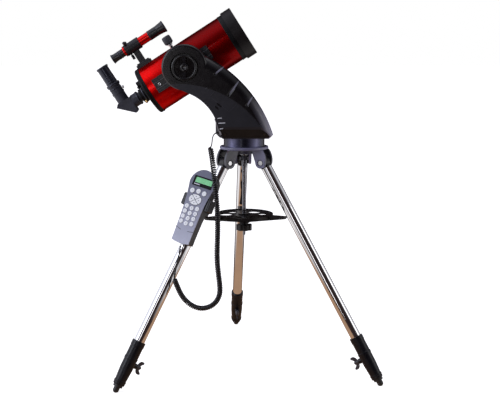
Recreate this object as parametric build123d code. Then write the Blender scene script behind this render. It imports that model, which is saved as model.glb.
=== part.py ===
from build123d import *
import os
from math import atan2, cos, degrees, pi, radians, sin, sqrt, tan

# One-arm computerised telescope mount on a tripod, with its tube, finder, handset and cord.
# Millimetres. Z is up, the azimuth axis is the Z axis, and Z = 0 is the ground under the feet.

# ---- Driving dimensions -------------------------------------------------------------------
LEG_TUBE_R = 31.75 / 2          # upper leg tube, 1.25 inch outside
LEG_WALL = 1.4
INNER_TUBE_R = 25.4 / 2         # lower leg tube, 1 inch outside
LEG_AZIMUTHS = (214.1, 334.1, 94.1)
LEG_SPLAY = 30.9                # from the vertical
PIVOT_R = 66.0                  # leg pivots from the azimuth axis
PIVOT_Z = 638.0
LUG_GAP = 36.0                  # between the two lugs of one leg
LUG_THICKNESS = 8.0
LUG_END_R = 16.5
BOLT_R = 4.0

FLANGE_R = 73.0                 # tripod hub flange
FLANGE_LOW = 676.0
FLANGE_TOP = 685.0
NECK_R = 61.5                   # fixed azimuth base above the flange
BASE_LOW = 711.0                # underside of the turning housing

AXIS_X = -173.0                 # altitude axis, parallel to Y
AXIS_Z = 920.0
TUBE_Y = 88.0                   # plane of the telescope's axis
TUBE_TILT = 32.5                # telescope's rest angle above the horizon
HEAD_R = 67.0                   # round head of the arm
ARM_FRONT = -74.0               # the arm's two faces in Y
ARM_BACK = -12.0
SPINE_R = 391.0                 # big arc of the arm's back
SPINE_CENTRE = (-286.0, 603.0)
HOUSING_R = 85.5                # round azimuth housing at the arm's foot
WALL = 3.0

OTA_R = 74.0                    # telescope tube
OTA_REAR = -132.0               # tube ends, measured along its axis from the altitude axis
OTA_FRONT = 154.0
TRAY_Z = 475.0                  # upper face of the eyepiece tray
TRAY_TIP_R = 142.0
EYEPIECE_BORE = 31.75 / 2       # the 1.25 inch eyepiece standard

HANDSET_CENTRE = Vector(-140.9, -119.6, 515.1)
HANDSET_RIGHT = Vector(0.8485, -0.4882, -0.2031)
HANDSET_FRONT = Vector(-0.3905, -0.8375, 0.382)

FIT = 0.05                      # radial clearance of a running fit
GAP = 0.3                       # gap between neighbours that move
CORD_D = 3.2
COIL_D = 13.0

LEG_LENGTH = PIVOT_Z / cos(radians(LEG_SPLAY))
BASE = (Align.CENTER, Align.CENTER, Align.MIN)
MIDDLE = (Align.CENTER, Align.CENTER, Align.CENTER)


# ---- Helpers ------------------------------------------------------------------------------
def disc(plane, radius, start, end, bore=0.0):
    """A round solid along the plane's axis, from start to end, with an optional bore."""
    solid = Cylinder(radius, end - start, align=BASE)
    if bore:
        solid -= Cylinder(bore, end - start, align=BASE)
    return plane * Pos(0, 0, start) * solid


def cone(plane, low_radius, high_radius, start, end):
    """A tapered round solid along the plane's axis."""
    return plane * Pos(0, 0, start) * Cone(low_radius, high_radius, end - start, align=BASE)


def block(plane, size, centre):
    """A box in the plane's own directions."""
    return plane * Pos(*centre) * Box(*size, align=MIDDLE)


def slab(outline, y_low, y_high):
    """An outline in X and Z, given thickness from y_low to y_high."""
    side = Plane(origin=(0, y_high, 0), x_dir=(1, 0, 0), z_dir=(0, -1, 0))
    return extrude(side * outline, amount=y_high - y_low)


def polygon(*points):
    """A flat face through the points."""
    return make_face(Polyline(*points, close=True))


def lobed(plane, radius, start, end, lobes, depth, bore=0.0):
    """A knob with finger grooves round its rim."""
    knob = disc(plane, radius, start, end, bore)
    groove_r = radius * sin(pi / lobes) * 0.62
    for turn in range(lobes):
        angle = 2 * pi * turn / lobes
        reach = radius + groove_r - depth
        groove = Cylinder(groove_r, end - start, align=BASE)
        knob -= plane * Pos(reach * cos(angle), reach * sin(angle), start) * groove
    return knob


def round_point(x, z, radius, angle):
    """A point on a circle in the X and Z outline, angle in degrees from +X."""
    return (x + radius * cos(radians(angle)), z + radius * sin(radians(angle)))


def write(name, *solids):
    """One node: its solids go to one STEP file."""
    pieces = [solid for shape in solids for solid in shape.solids()]
    export_step(pieces[0] if len(pieces) == 1 else Compound(pieces), f"parts/{name}.step")


UP = Plane.XY
ALTITUDE = Plane(origin=(AXIS_X, 0, AXIS_Z), x_dir=(-0.8, 0, 0.6), z_dir=(0, 1, 0))
TILT = radians(TUBE_TILT)
# The telescope's own frame: Z forward along the tube, X away from the arm, Y up across the tube.
OTA = Plane(origin=(AXIS_X, TUBE_Y, AXIS_Z), x_dir=(0, 1, 0), z_dir=(cos(TILT), 0, sin(TILT)))


# ---- Tripod -------------------------------------------------------------------------------
def radial_plane(azimuth):
    """A plane through the azimuth axis: X outward at the azimuth, Y up."""
    a = radians(azimuth)
    return Plane(origin=(0, 0, 0), x_dir=(cos(a), sin(a), 0), z_dir=(sin(a), -cos(a), 0))


def leg_plane(azimuth):
    """A leg's frame: Z down along the leg from its pivot, X across the lugs, Y outward."""
    a = radians(azimuth)
    splay = radians(LEG_SPLAY)
    return Plane(
        origin=(PIVOT_R * cos(a), PIVOT_R * sin(a), PIVOT_Z),
        x_dir=(-sin(a), cos(a), 0),
        z_dir=(sin(splay) * cos(a), sin(splay) * sin(a), -cos(splay)),
    )


def pivot_plane(azimuth):
    """The leg pivot's axis as a plane's Z direction."""
    leg = leg_plane(azimuth)
    return Plane(origin=leg.origin, x_dir=leg.z_dir, z_dir=leg.x_dir)


def tripod_hub():
    flange = fillet(Cylinder(FLANGE_R, FLANGE_TOP - FLANGE_LOW, align=BASE).edges(), 3.0)
    hub = Pos(0, 0, FLANGE_LOW) * flange
    hub += disc(UP, 44, 664, FLANGE_LOW + 1)
    outer = PIVOT_R + LUG_END_R
    shoulder = ThreePointArc((outer, PIVOT_Z), (outer - 2.5, PIVOT_Z + 22), (FLANGE_R - 3, FLANGE_LOW + 1))
    lug_face = make_face([
        shoulder,
        Line((FLANGE_R - 3, FLANGE_LOW + 1), (36, FLANGE_LOW + 1)),
        Line((36, FLANGE_LOW + 1), (PIVOT_R - LUG_END_R, PIVOT_Z)),
        Line((PIVOT_R - LUG_END_R, PIVOT_Z), (outer, PIVOT_Z)),
    ]) + Pos(PIVOT_R, PIVOT_Z) * Circle(LUG_END_R)
    recess_depth = LUG_THICKNESS / 2
    for azimuth in LEG_AZIMUTHS:
        side = radial_plane(azimuth)
        for start in (LUG_GAP / 2, -LUG_GAP / 2 - LUG_THICKNESS):
            hub += extrude(side.offset(start) * lug_face, amount=LUG_THICKNESS)
        pivot = pivot_plane(azimuth)
        half = LUG_GAP / 2 + LUG_THICKNESS
        hub -= disc(pivot, BOLT_R + 0.2, -half, half)
        hub -= disc(pivot, 9.5, half - recess_depth, half)
        hub -= disc(pivot, 9.5, -half, -half + recess_depth)
    return hub - disc(UP, BOLT_R + 0.2, 660, 690)


def leg_pivot_bolts():
    """One bolt and nut through each pair of lugs."""
    bolts = []
    seat = LUG_GAP / 2 + LUG_THICKNESS / 2
    for azimuth in LEG_AZIMUTHS:
        pivot = pivot_plane(azimuth)
        bolt = disc(pivot, BOLT_R, -seat, seat + 2.5)
        bolt += disc(pivot, 6.8, -seat - 3.5, -seat)
        bolts.append(bolt)
        nut = extrude(pivot.offset(seat) * RegularPolygon(6.8, 6), amount=3.0)
        bolts.append(nut - disc(pivot, BOLT_R, seat, seat + 3))
    return bolts


def centre_rod():
    """Rod below the hub: threaded stud on top, collar, plain shank, threaded end."""
    rod = disc(UP, BOLT_R, 640, 700)
    rod += disc(UP, 7.5, 619, 641)
    rod += disc(UP, 6.0, 452, 620)
    return rod + disc(UP, BOLT_R, 412, 453)


def hub_knob():
    knob = lobed(UP, 14, 641.5, 651, 6, 2.2)
    knob += disc(UP, 7, 651, 657)
    return knob - disc(UP, BOLT_R + FIT, 640, 660)


def azimuth_base():
    """The ring that stays on the hub, with the hollow spindle the housing turns on."""
    base = disc(UP, NECK_R, FLANGE_TOP, BASE_LOW - GAP)
    base -= disc(UP, NECK_R - 4, FLANGE_TOP + 6, BASE_LOW)
    for height in (692.5, 699.5, 706.5):
        base -= disc(UP, NECK_R + 1, height, height + 0.8, NECK_R - 0.6)
    base += disc(UP, 16, FLANGE_TOP + 5, 760)
    return base - disc(UP, 8, 701, 761) - disc(UP, BOLT_R, FLANGE_TOP - 1, 702)


def leg_tube(azimuth):
    """Upper leg: chromed tube, and the top plug that turns on the pivot bolt."""
    leg = leg_plane(azimuth)
    tube = disc(leg, LEG_TUBE_R, 18, 640, LEG_TUBE_R - LEG_WALL)
    half = LUG_GAP / 2 - GAP
    plug = disc(pivot_plane(azimuth), 15.2, -half, half)
    plug += block(leg, (26, 24, 18), (0, 0, 9))
    plug += disc(leg, LEG_TUBE_R - LEG_WALL, 17, 45)
    plug -= disc(leg, 30, 0, 18) - disc(leg, 17.9, 0, 18)
    plug -= disc(pivot_plane(azimuth), BOLT_R + FIT, -40, 40)
    return [tube, plug]


def sleeve_start():
    return LEG_LENGTH - 161


def screw_place():
    """Distance down the leg to the wing screw."""
    return LEG_LENGTH - 91


def screw_plane(azimuth):
    """The wing screw's axis: Z inward, across the leg."""
    leg = leg_plane(azimuth)
    spot = leg.origin + leg.z_dir * screw_place()
    return Plane(origin=spot, x_dir=leg.z_dir, z_dir=leg.y_dir * -1)


def leg_sleeve(azimuth):
    """Lock sleeve clamped on the upper tube's end; the lower tube slides in it."""
    leg = leg_plane(azimuth)
    start = sleeve_start()
    end = LEG_LENGTH - 25
    section = polygon(
        (INNER_TUBE_R + FIT, end), (INNER_TUBE_R + FIT, 640), (LEG_TUBE_R, 640), (LEG_TUBE_R, start),
        (20.2, start), (20.2, start + 16), (19.2, start + 17), (19.2, start + 50), (20.2, start + 51),
        (20.2, start + 58), (19.2, start + 59), (19.2, start + 86), (16.0, end),
    )
    side = Plane(origin=leg.origin, x_dir=leg.y_dir, z_dir=leg.x_dir)
    sleeve = revolve(side * section, axis=Axis(leg.origin, leg.z_dir))
    sleeve += disc(screw_plane(azimuth), 8.0, 17, 27)
    return sleeve - disc(screw_plane(azimuth), 3.0 + FIT, 0, 30)


def leg_lower(azimuth):
    """Lower leg: inner tube, a guide bush at its top and the rubber foot."""
    leg = leg_plane(azimuth)
    foot_top = LEG_LENGTH - 24
    tube = disc(leg, INNER_TUBE_R, 250, foot_top, INNER_TUBE_R - 1.2)
    bush = disc(leg, LEG_TUBE_R - LEG_WALL - FIT, 250, 272, INNER_TUBE_R)
    foot = disc(leg, 14.0, foot_top, foot_top + 6)
    foot += disc(leg, 9.0, foot_top + 5, LEG_LENGTH - 8.8)
    foot += leg * Pos(0, 0, LEG_LENGTH - 8.8) * Sphere(9.0)
    foot -= Pos(0, 0, -50) * Box(2000, 2000, 100)
    return [tube, bush, foot]


def leg_screw(azimuth):
    """Wing screw that locks the lower leg."""
    axis = screw_plane(azimuth)
    screw = disc(axis, 3.0, INNER_TUBE_R + GAP, 34)
    screw += disc(axis, 6.5, 28, 44)
    screw += block(axis, (36, 4, 11), (0, 0, 39))
    for side in (-1, 1):
        screw += block(axis, (9, 5.5, 17), (side * 15, 0, 41))
    return screw


def accessory_tray():
    """Spreader and eyepiece tray: a rimmed plate, three arms to the legs and a centre hub."""
    tray = disc(UP, 88, TRAY_Z - 4, TRAY_Z)
    tray += disc(UP, 88, TRAY_Z - 6, TRAY_Z + 3, 84)
    for azimuth in LEG_AZIMUTHS:
        side = radial_plane(azimuth)
        web = polygon((12, 452), (TRAY_TIP_R - 4, 471), (TRAY_TIP_R - 4, 478), (12, 474))
        tray += extrude(side.offset(-5) * web, amount=10)
        tray += block(side, (56, 5, 24), (TRAY_TIP_R - 32, 475.5, 0))
    for azimuth in LEG_AZIMUTHS:
        tray -= disc(leg_plane(azimuth), LEG_TUBE_R + GAP, 150, 230)
    tray += disc(UP, 18, 451, TRAY_Z + 4)
    for number, azimuth in enumerate(LEG_AZIMUTHS):
        for offset, radius, reach in ((35, EYEPIECE_BORE + 0.4, 56), (82, 21, 55)):
            a = radians(azimuth + offset)
            hole = Pos(reach * cos(a), reach * sin(a), TRAY_Z - 10)
            tray -= hole * Cylinder(radius, 20, align=BASE)
    return tray - disc(UP, 6.1, 440, 490)


def tray_knob():
    """Lobed nut under the tray with its washer."""
    knob = lobed(UP, 24, 427, 444, 7, 4.0) + disc(UP, 11, 443, 448.5)
    knob -= disc(UP, BOLT_R + FIT, 420, 460)
    washer = disc(UP, 14, 448.5, 450.7, 6.6)
    return [knob, washer]


# ---- Mount --------------------------------------------------------------------------------
def arm_outline():
    """Side view of the arm below its round head."""
    ox, oz = SPINE_CENTRE
    spine = ThreePointArc(
        round_point(ox, oz, SPINE_R, 66),
        round_point(ox, oz, SPINE_R, 42),
        round_point(ox, oz, SPINE_R, 17.8),
    )
    inner = ThreePointArc((-86, 775), (-111, 811), (-157, 843))
    edges = [
        spine,
        Line(spine @ 1, (69, 707)),
        Line((69, 707), (-62, 707)),
        Line((-62, 707), inner @ 0),
        inner,
        Line(inner @ 1, (-196, 860)),
        Line((-196, 860), (-182, 905)),
        Line((-182, 905), spine @ 0),
    ]
    return make_face(edges)


def wedge_face():
    """The sloping face under the arm's front: Z outward, X along +X, Y up the slope."""
    top = Vector(0, ARM_FRONT, 747)
    foot = Vector(0, ARM_FRONT + 16, 707)
    up_slope = (top - foot).normalized()
    return Plane(origin=top, x_dir=(1, 0, 0), z_dir=Vector(1, 0, 0).cross(up_slope))


def wedge_cutter(depth):
    """Everything in front of the sloping face, moved back by depth."""
    return wedge_face() * Pos(0, -60, 60 - depth) * Box(400, 120, 120)


def arm_body(inset):
    """The arm's outside, or its hollow when inset by the wall."""
    ox, oz = SPINE_CENTRE
    middle = (ARM_FRONT + ARM_BACK) / 2
    half = (ARM_BACK - ARM_FRONT) / 2 - inset
    outline = arm_outline()
    if inset:
        outline = offset(outline, amount=-inset, kind=Kind.INTERSECTION)
    body = slab(outline, ARM_FRONT + inset, ARM_BACK - inset)
    spine = Plane(origin=(ox, middle, oz), x_dir=(1, 0, 0), z_dir=(0, 1, 0))
    round_half = (ARM_BACK - ARM_FRONT) / 2
    bulk = disc(spine, SPINE_R - round_half, -half, half)
    bulk += spine * Torus(SPINE_R - round_half, half)
    body = body & bulk
    head = disc(ALTITUDE, HEAD_R - inset, ARM_FRONT + inset, ARM_BACK - inset)
    head = fillet(head.edges(), 8)
    housing = disc(UP, HOUSING_R - inset, BASE_LOW - 4 + inset, 768 - inset)
    housing = chamfer(housing.edges().sort_by(Axis.Z)[0], 15)
    housing = fillet(housing.edges().sort_by(Axis.Z)[-1], 14)
    housing &= disc(Plane(origin=(ox, 0, oz), z_dir=(0, 1, 0)), SPINE_R - 2 - inset, ARM_FRONT + inset, 120)
    return body + head + housing


def arm_hollow():
    return arm_body(WALL) - wedge_cutter(0) - disc(UP, 200, 700, BASE_LOW + WALL)


def cover_opening(gap):
    """Outline of the cover on the arm's telescope side."""
    strip = polygon((-66, 790), (18, 790), (-20, 866), (-60, 890), (-118, 862), (-80, 815))
    return offset(strip, amount=-gap, kind=Kind.INTERSECTION) if gap else strip


COVER_SCREWS = (-56.0, 60.0)


def casing_screw_places():
    """Screw centres on the arm's inner cover, in X and Z."""
    return ((-60, 800), (4, 800), (-62, 876), (-104, 858))


def seam_groove():
    """Shallow joint line between the arm's flat panel and its rounded back."""
    line = Spline((-100, 858), (-84, 852.6), (-47, 833.8), (-20.7, 817), (4, 797.7), (27, 771), (49, 748))
    side = Plane(origin=(0, ARM_FRONT + 0.7, 0), x_dir=(1, 0, 0), z_dir=(0, -1, 0))
    return extrude(side * trace(line, 0.9), amount=2)


def dent(start, end, radius, depth):
    """A finger groove in the arm's front face, between two points in X and Z."""
    a = Vector(start[0], ARM_FRONT - radius + depth, start[1])
    b = Vector(end[0], ARM_FRONT - radius + depth, end[1])
    groove = disc(Plane(origin=a, z_dir=b - a), radius, 0, (b - a).length)
    return groove + Pos(*a) * Sphere(radius) + Pos(*b) * Sphere(radius)


DENTS = (
    ((-84, 901), (-62, 919)),
    ((-45, 840), (-17, 877)),
    ((9, 810), (23, 831)),
)


def arm_casing():
    casing = arm_body(0) - wedge_cutter(0) - arm_hollow()
    casing -= seam_groove()
    for start, end in DENTS:
        casing -= dent(start, end, 7.5, 1.7)
    casing += disc(ALTITUDE, 45, ARM_FRONT + 1, ARM_FRONT + 15)
    casing += disc(ALTITUDE, 32, ARM_BACK - 20, ARM_BACK - 1)
    casing -= disc(ALTITUDE, 42, ARM_FRONT - 1, ARM_FRONT + 12)
    casing -= disc(ALTITUDE, 12, ARM_FRONT, ARM_FRONT + 20)
    casing -= disc(ALTITUDE, 20 + FIT, ARM_BACK - 25, ARM_BACK + 1)
    casing -= slab(cover_opening(0), ARM_BACK - WALL - 1, ARM_BACK + 1)
    casing -= disc(UP, 16 + FIT, 700, 730)
    casing += disc(UP, 24, BASE_LOW - 1, 724, 16 + FIT)
    casing -= disc(UP, 200, 700, BASE_LOW)
    casing -= port_plate_solid()
    casing -= block(switch_plane(), (17, 12, 12), (0, 0, -3))
    return casing


def arm_inner_cover():
    cover = slab(cover_opening(0.1), ARM_BACK - WALL, ARM_BACK)
    for x, z in casing_screw_places():
        cover -= slab(Pos(x, z) * Circle(2.2), ARM_BACK - 5, ARM_BACK + 1)
    return cover


def casing_screws():
    """Screws in the inner cover, and two in the base cover."""
    screws = []
    for x, z in casing_screw_places():
        screw = slab(Pos(x, z) * Circle(2.0), ARM_BACK - 10, ARM_BACK + 1)
        screws.append(screw + slab(Pos(x, z) * Circle(4.0), ARM_BACK + 0.05, ARM_BACK + 2.2))
    for x in COVER_SCREWS:
        spot = wedge_face() * Pos(x, -24, 0)
        screws.append(disc(spot, 2.0, -9, 0.5) + disc(spot, 3.4, 0.05, 1.4))
    return screws


def base_cover():
    """The plate that closes the sloping front of the housing, under the arm."""
    plate = arm_body(WALL + 0.15) & (wedge_cutter(WALL) - wedge_cutter(0))
    plate -= disc(UP, 200, 700, BASE_LOW + WALL + GAP)
    for x in COVER_SCREWS:
        plate -= disc(wedge_face() * Pos(x, -24, 0), 2.2, -6, 2)
    return plate


def port_face():
    """The socket panel's face on the arm's lower inner edge: Z outward, X forward, Y along the edge."""
    low = Vector(-62, -59, 707)
    high = Vector(-86, -59, 775)
    along = (high - low).normalized()
    return Plane(origin=low + along * 42, x_dir=(0, -1, 0), z_dir=Vector(0, -1, 0).cross(along))


def port_plate_solid():
    return block(port_face(), (20, 50, 5), (0, 0, 0))


PORT_PLACES = (-16.0, 1.0, 16.0)


def port_panel():
    """Panel with the handset socket, the power socket and the guide socket."""
    face = port_face()
    panel = block(face, (19.8, 49.8, 4.8), (0, 0, 0))
    for number, place in enumerate(PORT_PLACES):
        if number == 1:
            panel -= disc(face * Pos(0, place, 0), 4.0, -8, 8)
        else:
            panel -= block(face, (11, 9, 20), (0, place, 0))
    return panel


def cord_plug():
    """Modular plug in the handset socket."""
    face = port_face()
    plug = block(face, (10.6, 8.6, 8), (0, PORT_PLACES[0], 1.8))
    return plug + block(face, (8.6, 7, 4), (0, PORT_PLACES[0], 6.5))


def switch_plane():
    """The rocker switch sits in the arm's inner edge above the sockets."""
    along = Vector(-25, 0, 36).normalized()
    return Plane(origin=(-90.5, -50, 786), x_dir=along, z_dir=Vector(0, 1, 0).cross(along) * -1)


def power_switch():
    face = switch_plane()
    rocker = block(face, (15.4, 10.4, 6), (0, 0, -1))
    return rocker & disc(Plane(origin=face.origin, x_dir=face.x_dir, z_dir=face.y_dir), 7.6, -8, 8)


def worm_wheels():
    """Azimuth wheel round the spindle and altitude wheel round the shaft."""
    azimuth = lobed(UP, 44, 734, 742, 60, 1.2, 16 + FIT)
    wheel_plane = ALTITUDE.offset(-46)
    altitude = lobed(wheel_plane, 36, 0, 8, 52, 1.2, 10 + FIT)
    return [azimuth, altitude]


def drive_motors():
    """Each drive: a motor with its worm beside the wheel."""
    azimuth_axis = Plane(origin=(0, -50.5, 738), x_dir=(0, 0, 1), z_dir=(1, 0, 0))
    drives = [disc(azimuth_axis, 5, -16, 16) + disc(azimuth_axis, 2, -20, 20)]
    drives.append(disc(azimuth_axis, 11, 20.2, 54) & disc(UP, 81, 722, 762))
    reach = 36 + 4.5 + 1.4
    beside = (AXIS_X + reach * 0.866, -42, AXIS_Z + reach * 0.5)
    altitude_axis = Plane(origin=beside, x_dir=(0, 1, 0), z_dir=(0.5, 0, -0.866))
    drives.append(disc(altitude_axis, 4.5, -14, 14) + disc(altitude_axis, 2, -18, 18))
    drives.append(disc(altitude_axis, 12, 18.2, 62))
    return drives


def control_board():
    board = slab(polygon((-68, 782), (20, 782), (-8, 826), (-84, 826)), -66, -64.4)
    board += slab(Pos(-30, 800) * Rectangle(22, 16), -64.4, -61.5)
    return board + slab(Pos(-58, 806) * Rectangle(12, 12), -64.4, -60)


def clutch_knob():
    """Big knob in the arm's round head: a ring, a grip bar and a hub on the altitude shaft."""
    front = ARM_FRONT - 1
    knob = disc(ALTITUDE, 37, front, front + 12.5)
    knob = fillet(knob.edges().group_by(Axis.Y)[0], 1.5)
    pocket = disc(ALTITUDE, 30.5, front - 1, front + 9)
    bar = Plane(origin=(AXIS_X, 0, AXIS_Z), x_dir=(1, 0, 0), z_dir=(0, 1, 0))
    pocket -= block(bar, (11, 80, 40), (0, 0, front))
    pocket -= disc(ALTITUDE, 12, front - 2, front + 10)
    return knob - pocket - disc(ALTITUDE, 6 + FIT, front + 3, front + 13)


def saddle():
    """Altitude shaft and the saddle that clamps the telescope's dovetail bar."""
    shaft = disc(ALTITUDE, 20, -30, ARM_BACK + GAP)
    shaft += disc(ALTITUDE, 10, -60.5, -29)
    shaft += disc(ALTITUDE, 6, -71, -60)
    shaft += disc(ALTITUDE, 45, ARM_BACK + GAP, -6)
    jaws = block(OTA, (10, 66, 110), (-TUBE_Y - 2, 0, 0))
    for side in (-1, 1):
        jaws += block(OTA, (9, 10, 110), (-TUBE_Y + 6.5, side * 28, 0))
    jaws -= dovetail_shape(0.25, 130)
    jaws -= disc(clamp_axis(), 4.5 + FIT, 22, 60)
    return shaft + jaws


def dovetail_shape(gap, half_length):
    """The bar's tapered section, grown by the gap, as a solid along the tube."""
    near = -TUBE_Y + 3 - gap
    far = -TUBE_Y + 13.5
    wide = 22.5 + gap
    narrow = 18.5 + gap
    section = polygon((near, -wide), (far, -narrow), (far, narrow), (near, wide))
    return extrude(OTA.offset(-half_length) * section, amount=2 * half_length)


def dovetail_bar():
    bar = dovetail_shape(0, 110) - block(OTA, (60, 80, 60), (-TUBE_Y, 0, 84 + 30))
    bar += block(OTA, (8, 30, 16), (-TUBE_Y + 14, 0, -60)) + block(OTA, (8, 30, 16), (-TUBE_Y + 14, 0, 60))
    bar -= disc(OTA, OTA_R + 0.02, -140, 140)
    return bar - block(OTA, (2.4, 14, 150), (-TUBE_Y + 2.8, 0, -30))


def clamp_axis():
    """The saddle's clamp screw: Z up across the tube."""
    return Plane(origin=OTA.origin + OTA.x_dir * (-TUBE_Y + 6.5) + OTA.z_dir * -4, x_dir=OTA.z_dir,
                 z_dir=OTA.y_dir)


def clamp_knob():
    axis = clamp_axis()
    knob = disc(axis, 4.5, 23.2, 84) + lobed(axis, 13.5, 83, 108, 10, 1.2)
    return knob + disc(axis, 8, 79, 84)


# ---- Telescope ----------------------------------------------------------------------------
def main_tube():
    return disc(OTA, OTA_R, OTA_REAR, OTA_FRONT, OTA_R - 2)


def rear_cell():
    """Rear cell with its spigot inside the tube, and the visual back screwed on it."""
    cell = fillet(disc(OTA, OTA_R + 1.5, OTA_REAR - 14.5, OTA_REAR).edges().sort_by(SortBy.LENGTH)[-2:], 5)
    cell += disc(OTA, OTA_R - 2, OTA_REAR - 1, OTA_REAR + 14, OTA_R - 6)
    cell -= disc(OTA, 60, OTA_REAR - 9, OTA_REAR + 15)
    cell += disc(OTA, 27, OTA_REAR - 16, OTA_REAR + 30)
    cell -= disc(OTA, 19, OTA_REAR - 20, OTA_REAR + 40)
    cell -= disc(focus_plane(), 5 + FIT, OTA_REAR - 20, OTA_REAR)
    back = disc(OTA, 24, -157, OTA_REAR - 16) + disc(OTA, 21.5, -170, -156)
    back += disc(OTA, 18.8, OTA_REAR - 17, OTA_REAR - 8)
    back -= disc(OTA, EYEPIECE_BORE + FIT, -171, -120)
    for angle in (90, 235):
        back += visual_back_screw(angle)
    return [cell, back]


def visual_back_screw(angle):
    """A small thumbscrew that holds the diagonal's nose."""
    a = radians(angle)
    spot = OTA.origin + OTA.z_dir * -163
    axis = Plane(origin=spot, x_dir=OTA.z_dir, z_dir=OTA.x_dir * cos(a) + OTA.y_dir * sin(a))
    return disc(axis, 2, 19, 25) + disc(axis, 4.2, 24, 30)


def front_cell():
    cell = disc(OTA, OTA_R + 1, OTA_FRONT, OTA_FRONT + 22, 66)
    cell += disc(OTA, OTA_R - 2, OTA_FRONT - 10, OTA_FRONT + 1, 68)
    return cell + disc(OTA, 67, OTA_FRONT, OTA_FRONT + 3, 60)


def corrector_lens():
    """Deep meniscus behind the front cell's lip."""
    lens = disc(OTA, 65.5, OTA_FRONT + 3.2, OTA_FRONT + 11.2)
    lens -= OTA * Pos(0, 0, OTA_FRONT + 3.2 - 255) * Sphere(258)
    return lens


def primary_mirror():
    mirror = disc(OTA, 64, OTA_REAR + 31, OTA_REAR + 47, 19.2)
    mirror -= OTA * Pos(0, 0, OTA_REAR + 47 + 420) * Sphere(424)
    carrier = disc(OTA, 19, OTA_REAR + 20, OTA_REAR + 90, 17)
    return [mirror, carrier]


def focus_plane():
    return Plane(origin=OTA.origin + OTA.x_dir * 28 + OTA.y_dir * 34, x_dir=OTA.x_dir, z_dir=OTA.z_dir)


def focus_knob():
    knob = lobed(focus_plane(), 11, OTA_REAR - 34, OTA_REAR - 16, 12, 0.8)
    return knob + disc(focus_plane(), 5, OTA_REAR - 17, OTA_REAR - 9.5)


def dust_cap():
    cap = disc(OTA, OTA_R + 5.5, OTA_FRONT + 22.5, OTA_FRONT + 48)
    cap = fillet(cap.edges().sort_by(SortBy.LENGTH)[-3:-1], 2)
    cap -= disc(OTA, OTA_R + 2, OTA_FRONT + 10, OTA_FRONT + 44)
    return cap + (disc(OTA, OTA_R + 5.5, OTA_FRONT + 14, OTA_FRONT + 23, OTA_R + 2))


def finder_shoe():
    """Shoe on the tube that takes the finder's foot."""
    shoe = block(OTA, (34, 12, 48), (0, OTA_R + 3, -108))
    shoe -= disc(OTA, OTA_R + 0.02, -140, 0)
    shoe -= finder_foot(0.2)
    return shoe


def finder_foot(gap):
    """The foot's dovetail section in the shoe, grown by the gap."""
    low = OTA_R + 4.5 - gap
    high = OTA_R + 13
    section = polygon((-13 - gap, low), (-9.5 - gap, high), (9.5 + gap, high), (13 + gap, low))
    length = 80 if gap else 40
    return extrude(OTA.offset(-108 - length / 2) * section, amount=length)


FINDER_HEIGHT = 140.0
FINDER_REAR = -133.0


def finder_axis():
    return Plane(origin=OTA.origin + OTA.y_dir * FINDER_HEIGHT, x_dir=OTA.x_dir, z_dir=OTA.z_dir)


def finder_bracket():
    """Foot, stalk and ring, with two adjusting screws and a spring plunger."""
    axis = finder_axis()
    bracket = finder_foot(0) + block(OTA, (12, 42, 20), (0, OTA_R + 32, -108))
    bracket += disc(axis, 18, -134, -84)
    bracket -= disc(axis, 15.6, -135, -83)
    screws = []
    place = axis.origin + OTA.z_dir * -125
    for angle in (55, 125):
        side = OTA.x_dir * cos(radians(angle)) + OTA.y_dir * sin(radians(angle))
        screw = Plane(origin=place, x_dir=OTA.z_dir, z_dir=side)
        bracket -= disc(screw, 2.1, 10, 30)
        screws.append(disc(screw, 2, 15.4, 22) + disc(screw, 4.8, 20, 29))
    plunger = Plane(origin=place, x_dir=OTA.z_dir, z_dir=OTA.y_dir * -1)
    bracket -= disc(plunger, 2.1, 10, 30)
    screws.append(disc(plunger, 2, 15.4, 22) + disc(plunger, 4.2, 20, 35))
    return [bracket] + screws


def finder_tube():
    axis = finder_axis()
    tube = disc(axis, 14.2, -140, -48, 12.4)
    tube += disc(axis, 15.0, -50, -20, 12.4) + cone(axis, 15.0, 17.5, -20, 2)
    tube += disc(axis, 18.2, 2, 6)
    tube -= cone(axis, 12.4, 16, -22, 7)
    tube += disc(axis, 17, -139, -135.5, 12.4)
    tube += disc(axis, 12.6, -176, -139) + disc(axis, 13.4, -182, -175)
    tube -= disc(axis, 9, -183, -138)
    objective = disc(axis, 12.3, -30, -25)
    eye_lens = disc(axis, 8.9, -176, -172)
    return [tube, objective, eye_lens]


EYE_Z = -224.0


def eye_axis():
    """Axis of the eyepiece: up across the tube, behind the visual back."""
    return Plane(origin=OTA.origin + OTA.z_dir * EYE_Z, x_dir=OTA.x_dir, z_dir=OTA.y_dir)


def diagonal_housing():
    """Right-angle housing with its nose, eyepiece holder and mirror."""
    side = Plane(origin=OTA.origin - OTA.x_dir * 20, x_dir=OTA.z_dir, z_dir=OTA.x_dir)
    corner = [(-200, 18), (-243, 18), (-252, 9), (-209, -34), (-200, -30)]
    face = polygon(*[(z, -y) for z, y in corner])
    shell = extrude(side * face, amount=40)
    inner = [(-203, 15), (-240, 15), (-203, -22)]
    inside = Plane(origin=OTA.origin - OTA.x_dir * 17, x_dir=OTA.z_dir, z_dir=OTA.x_dir)
    shell -= extrude(inside * polygon(*[(z, -y) for z, y in inner]), amount=34)
    shell += disc(OTA, 20.5, -200, -176) + disc(OTA, EYEPIECE_BORE, -177, -140)
    shell -= disc(OTA, 13.5, -205, -139)
    shell += disc(eye_axis(), 18.5, 17, 76)
    shell += disc(eye_axis(), 20, 44, 50) + disc(eye_axis(), 21, 70, 80)
    shell -= disc(eye_axis(), 14.5, 10, 34) + disc(eye_axis(), EYEPIECE_BORE + FIT, 33, 81)
    return shell - disc(eye_screw_axis(), 2 + FIT, 10, 26)


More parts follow.
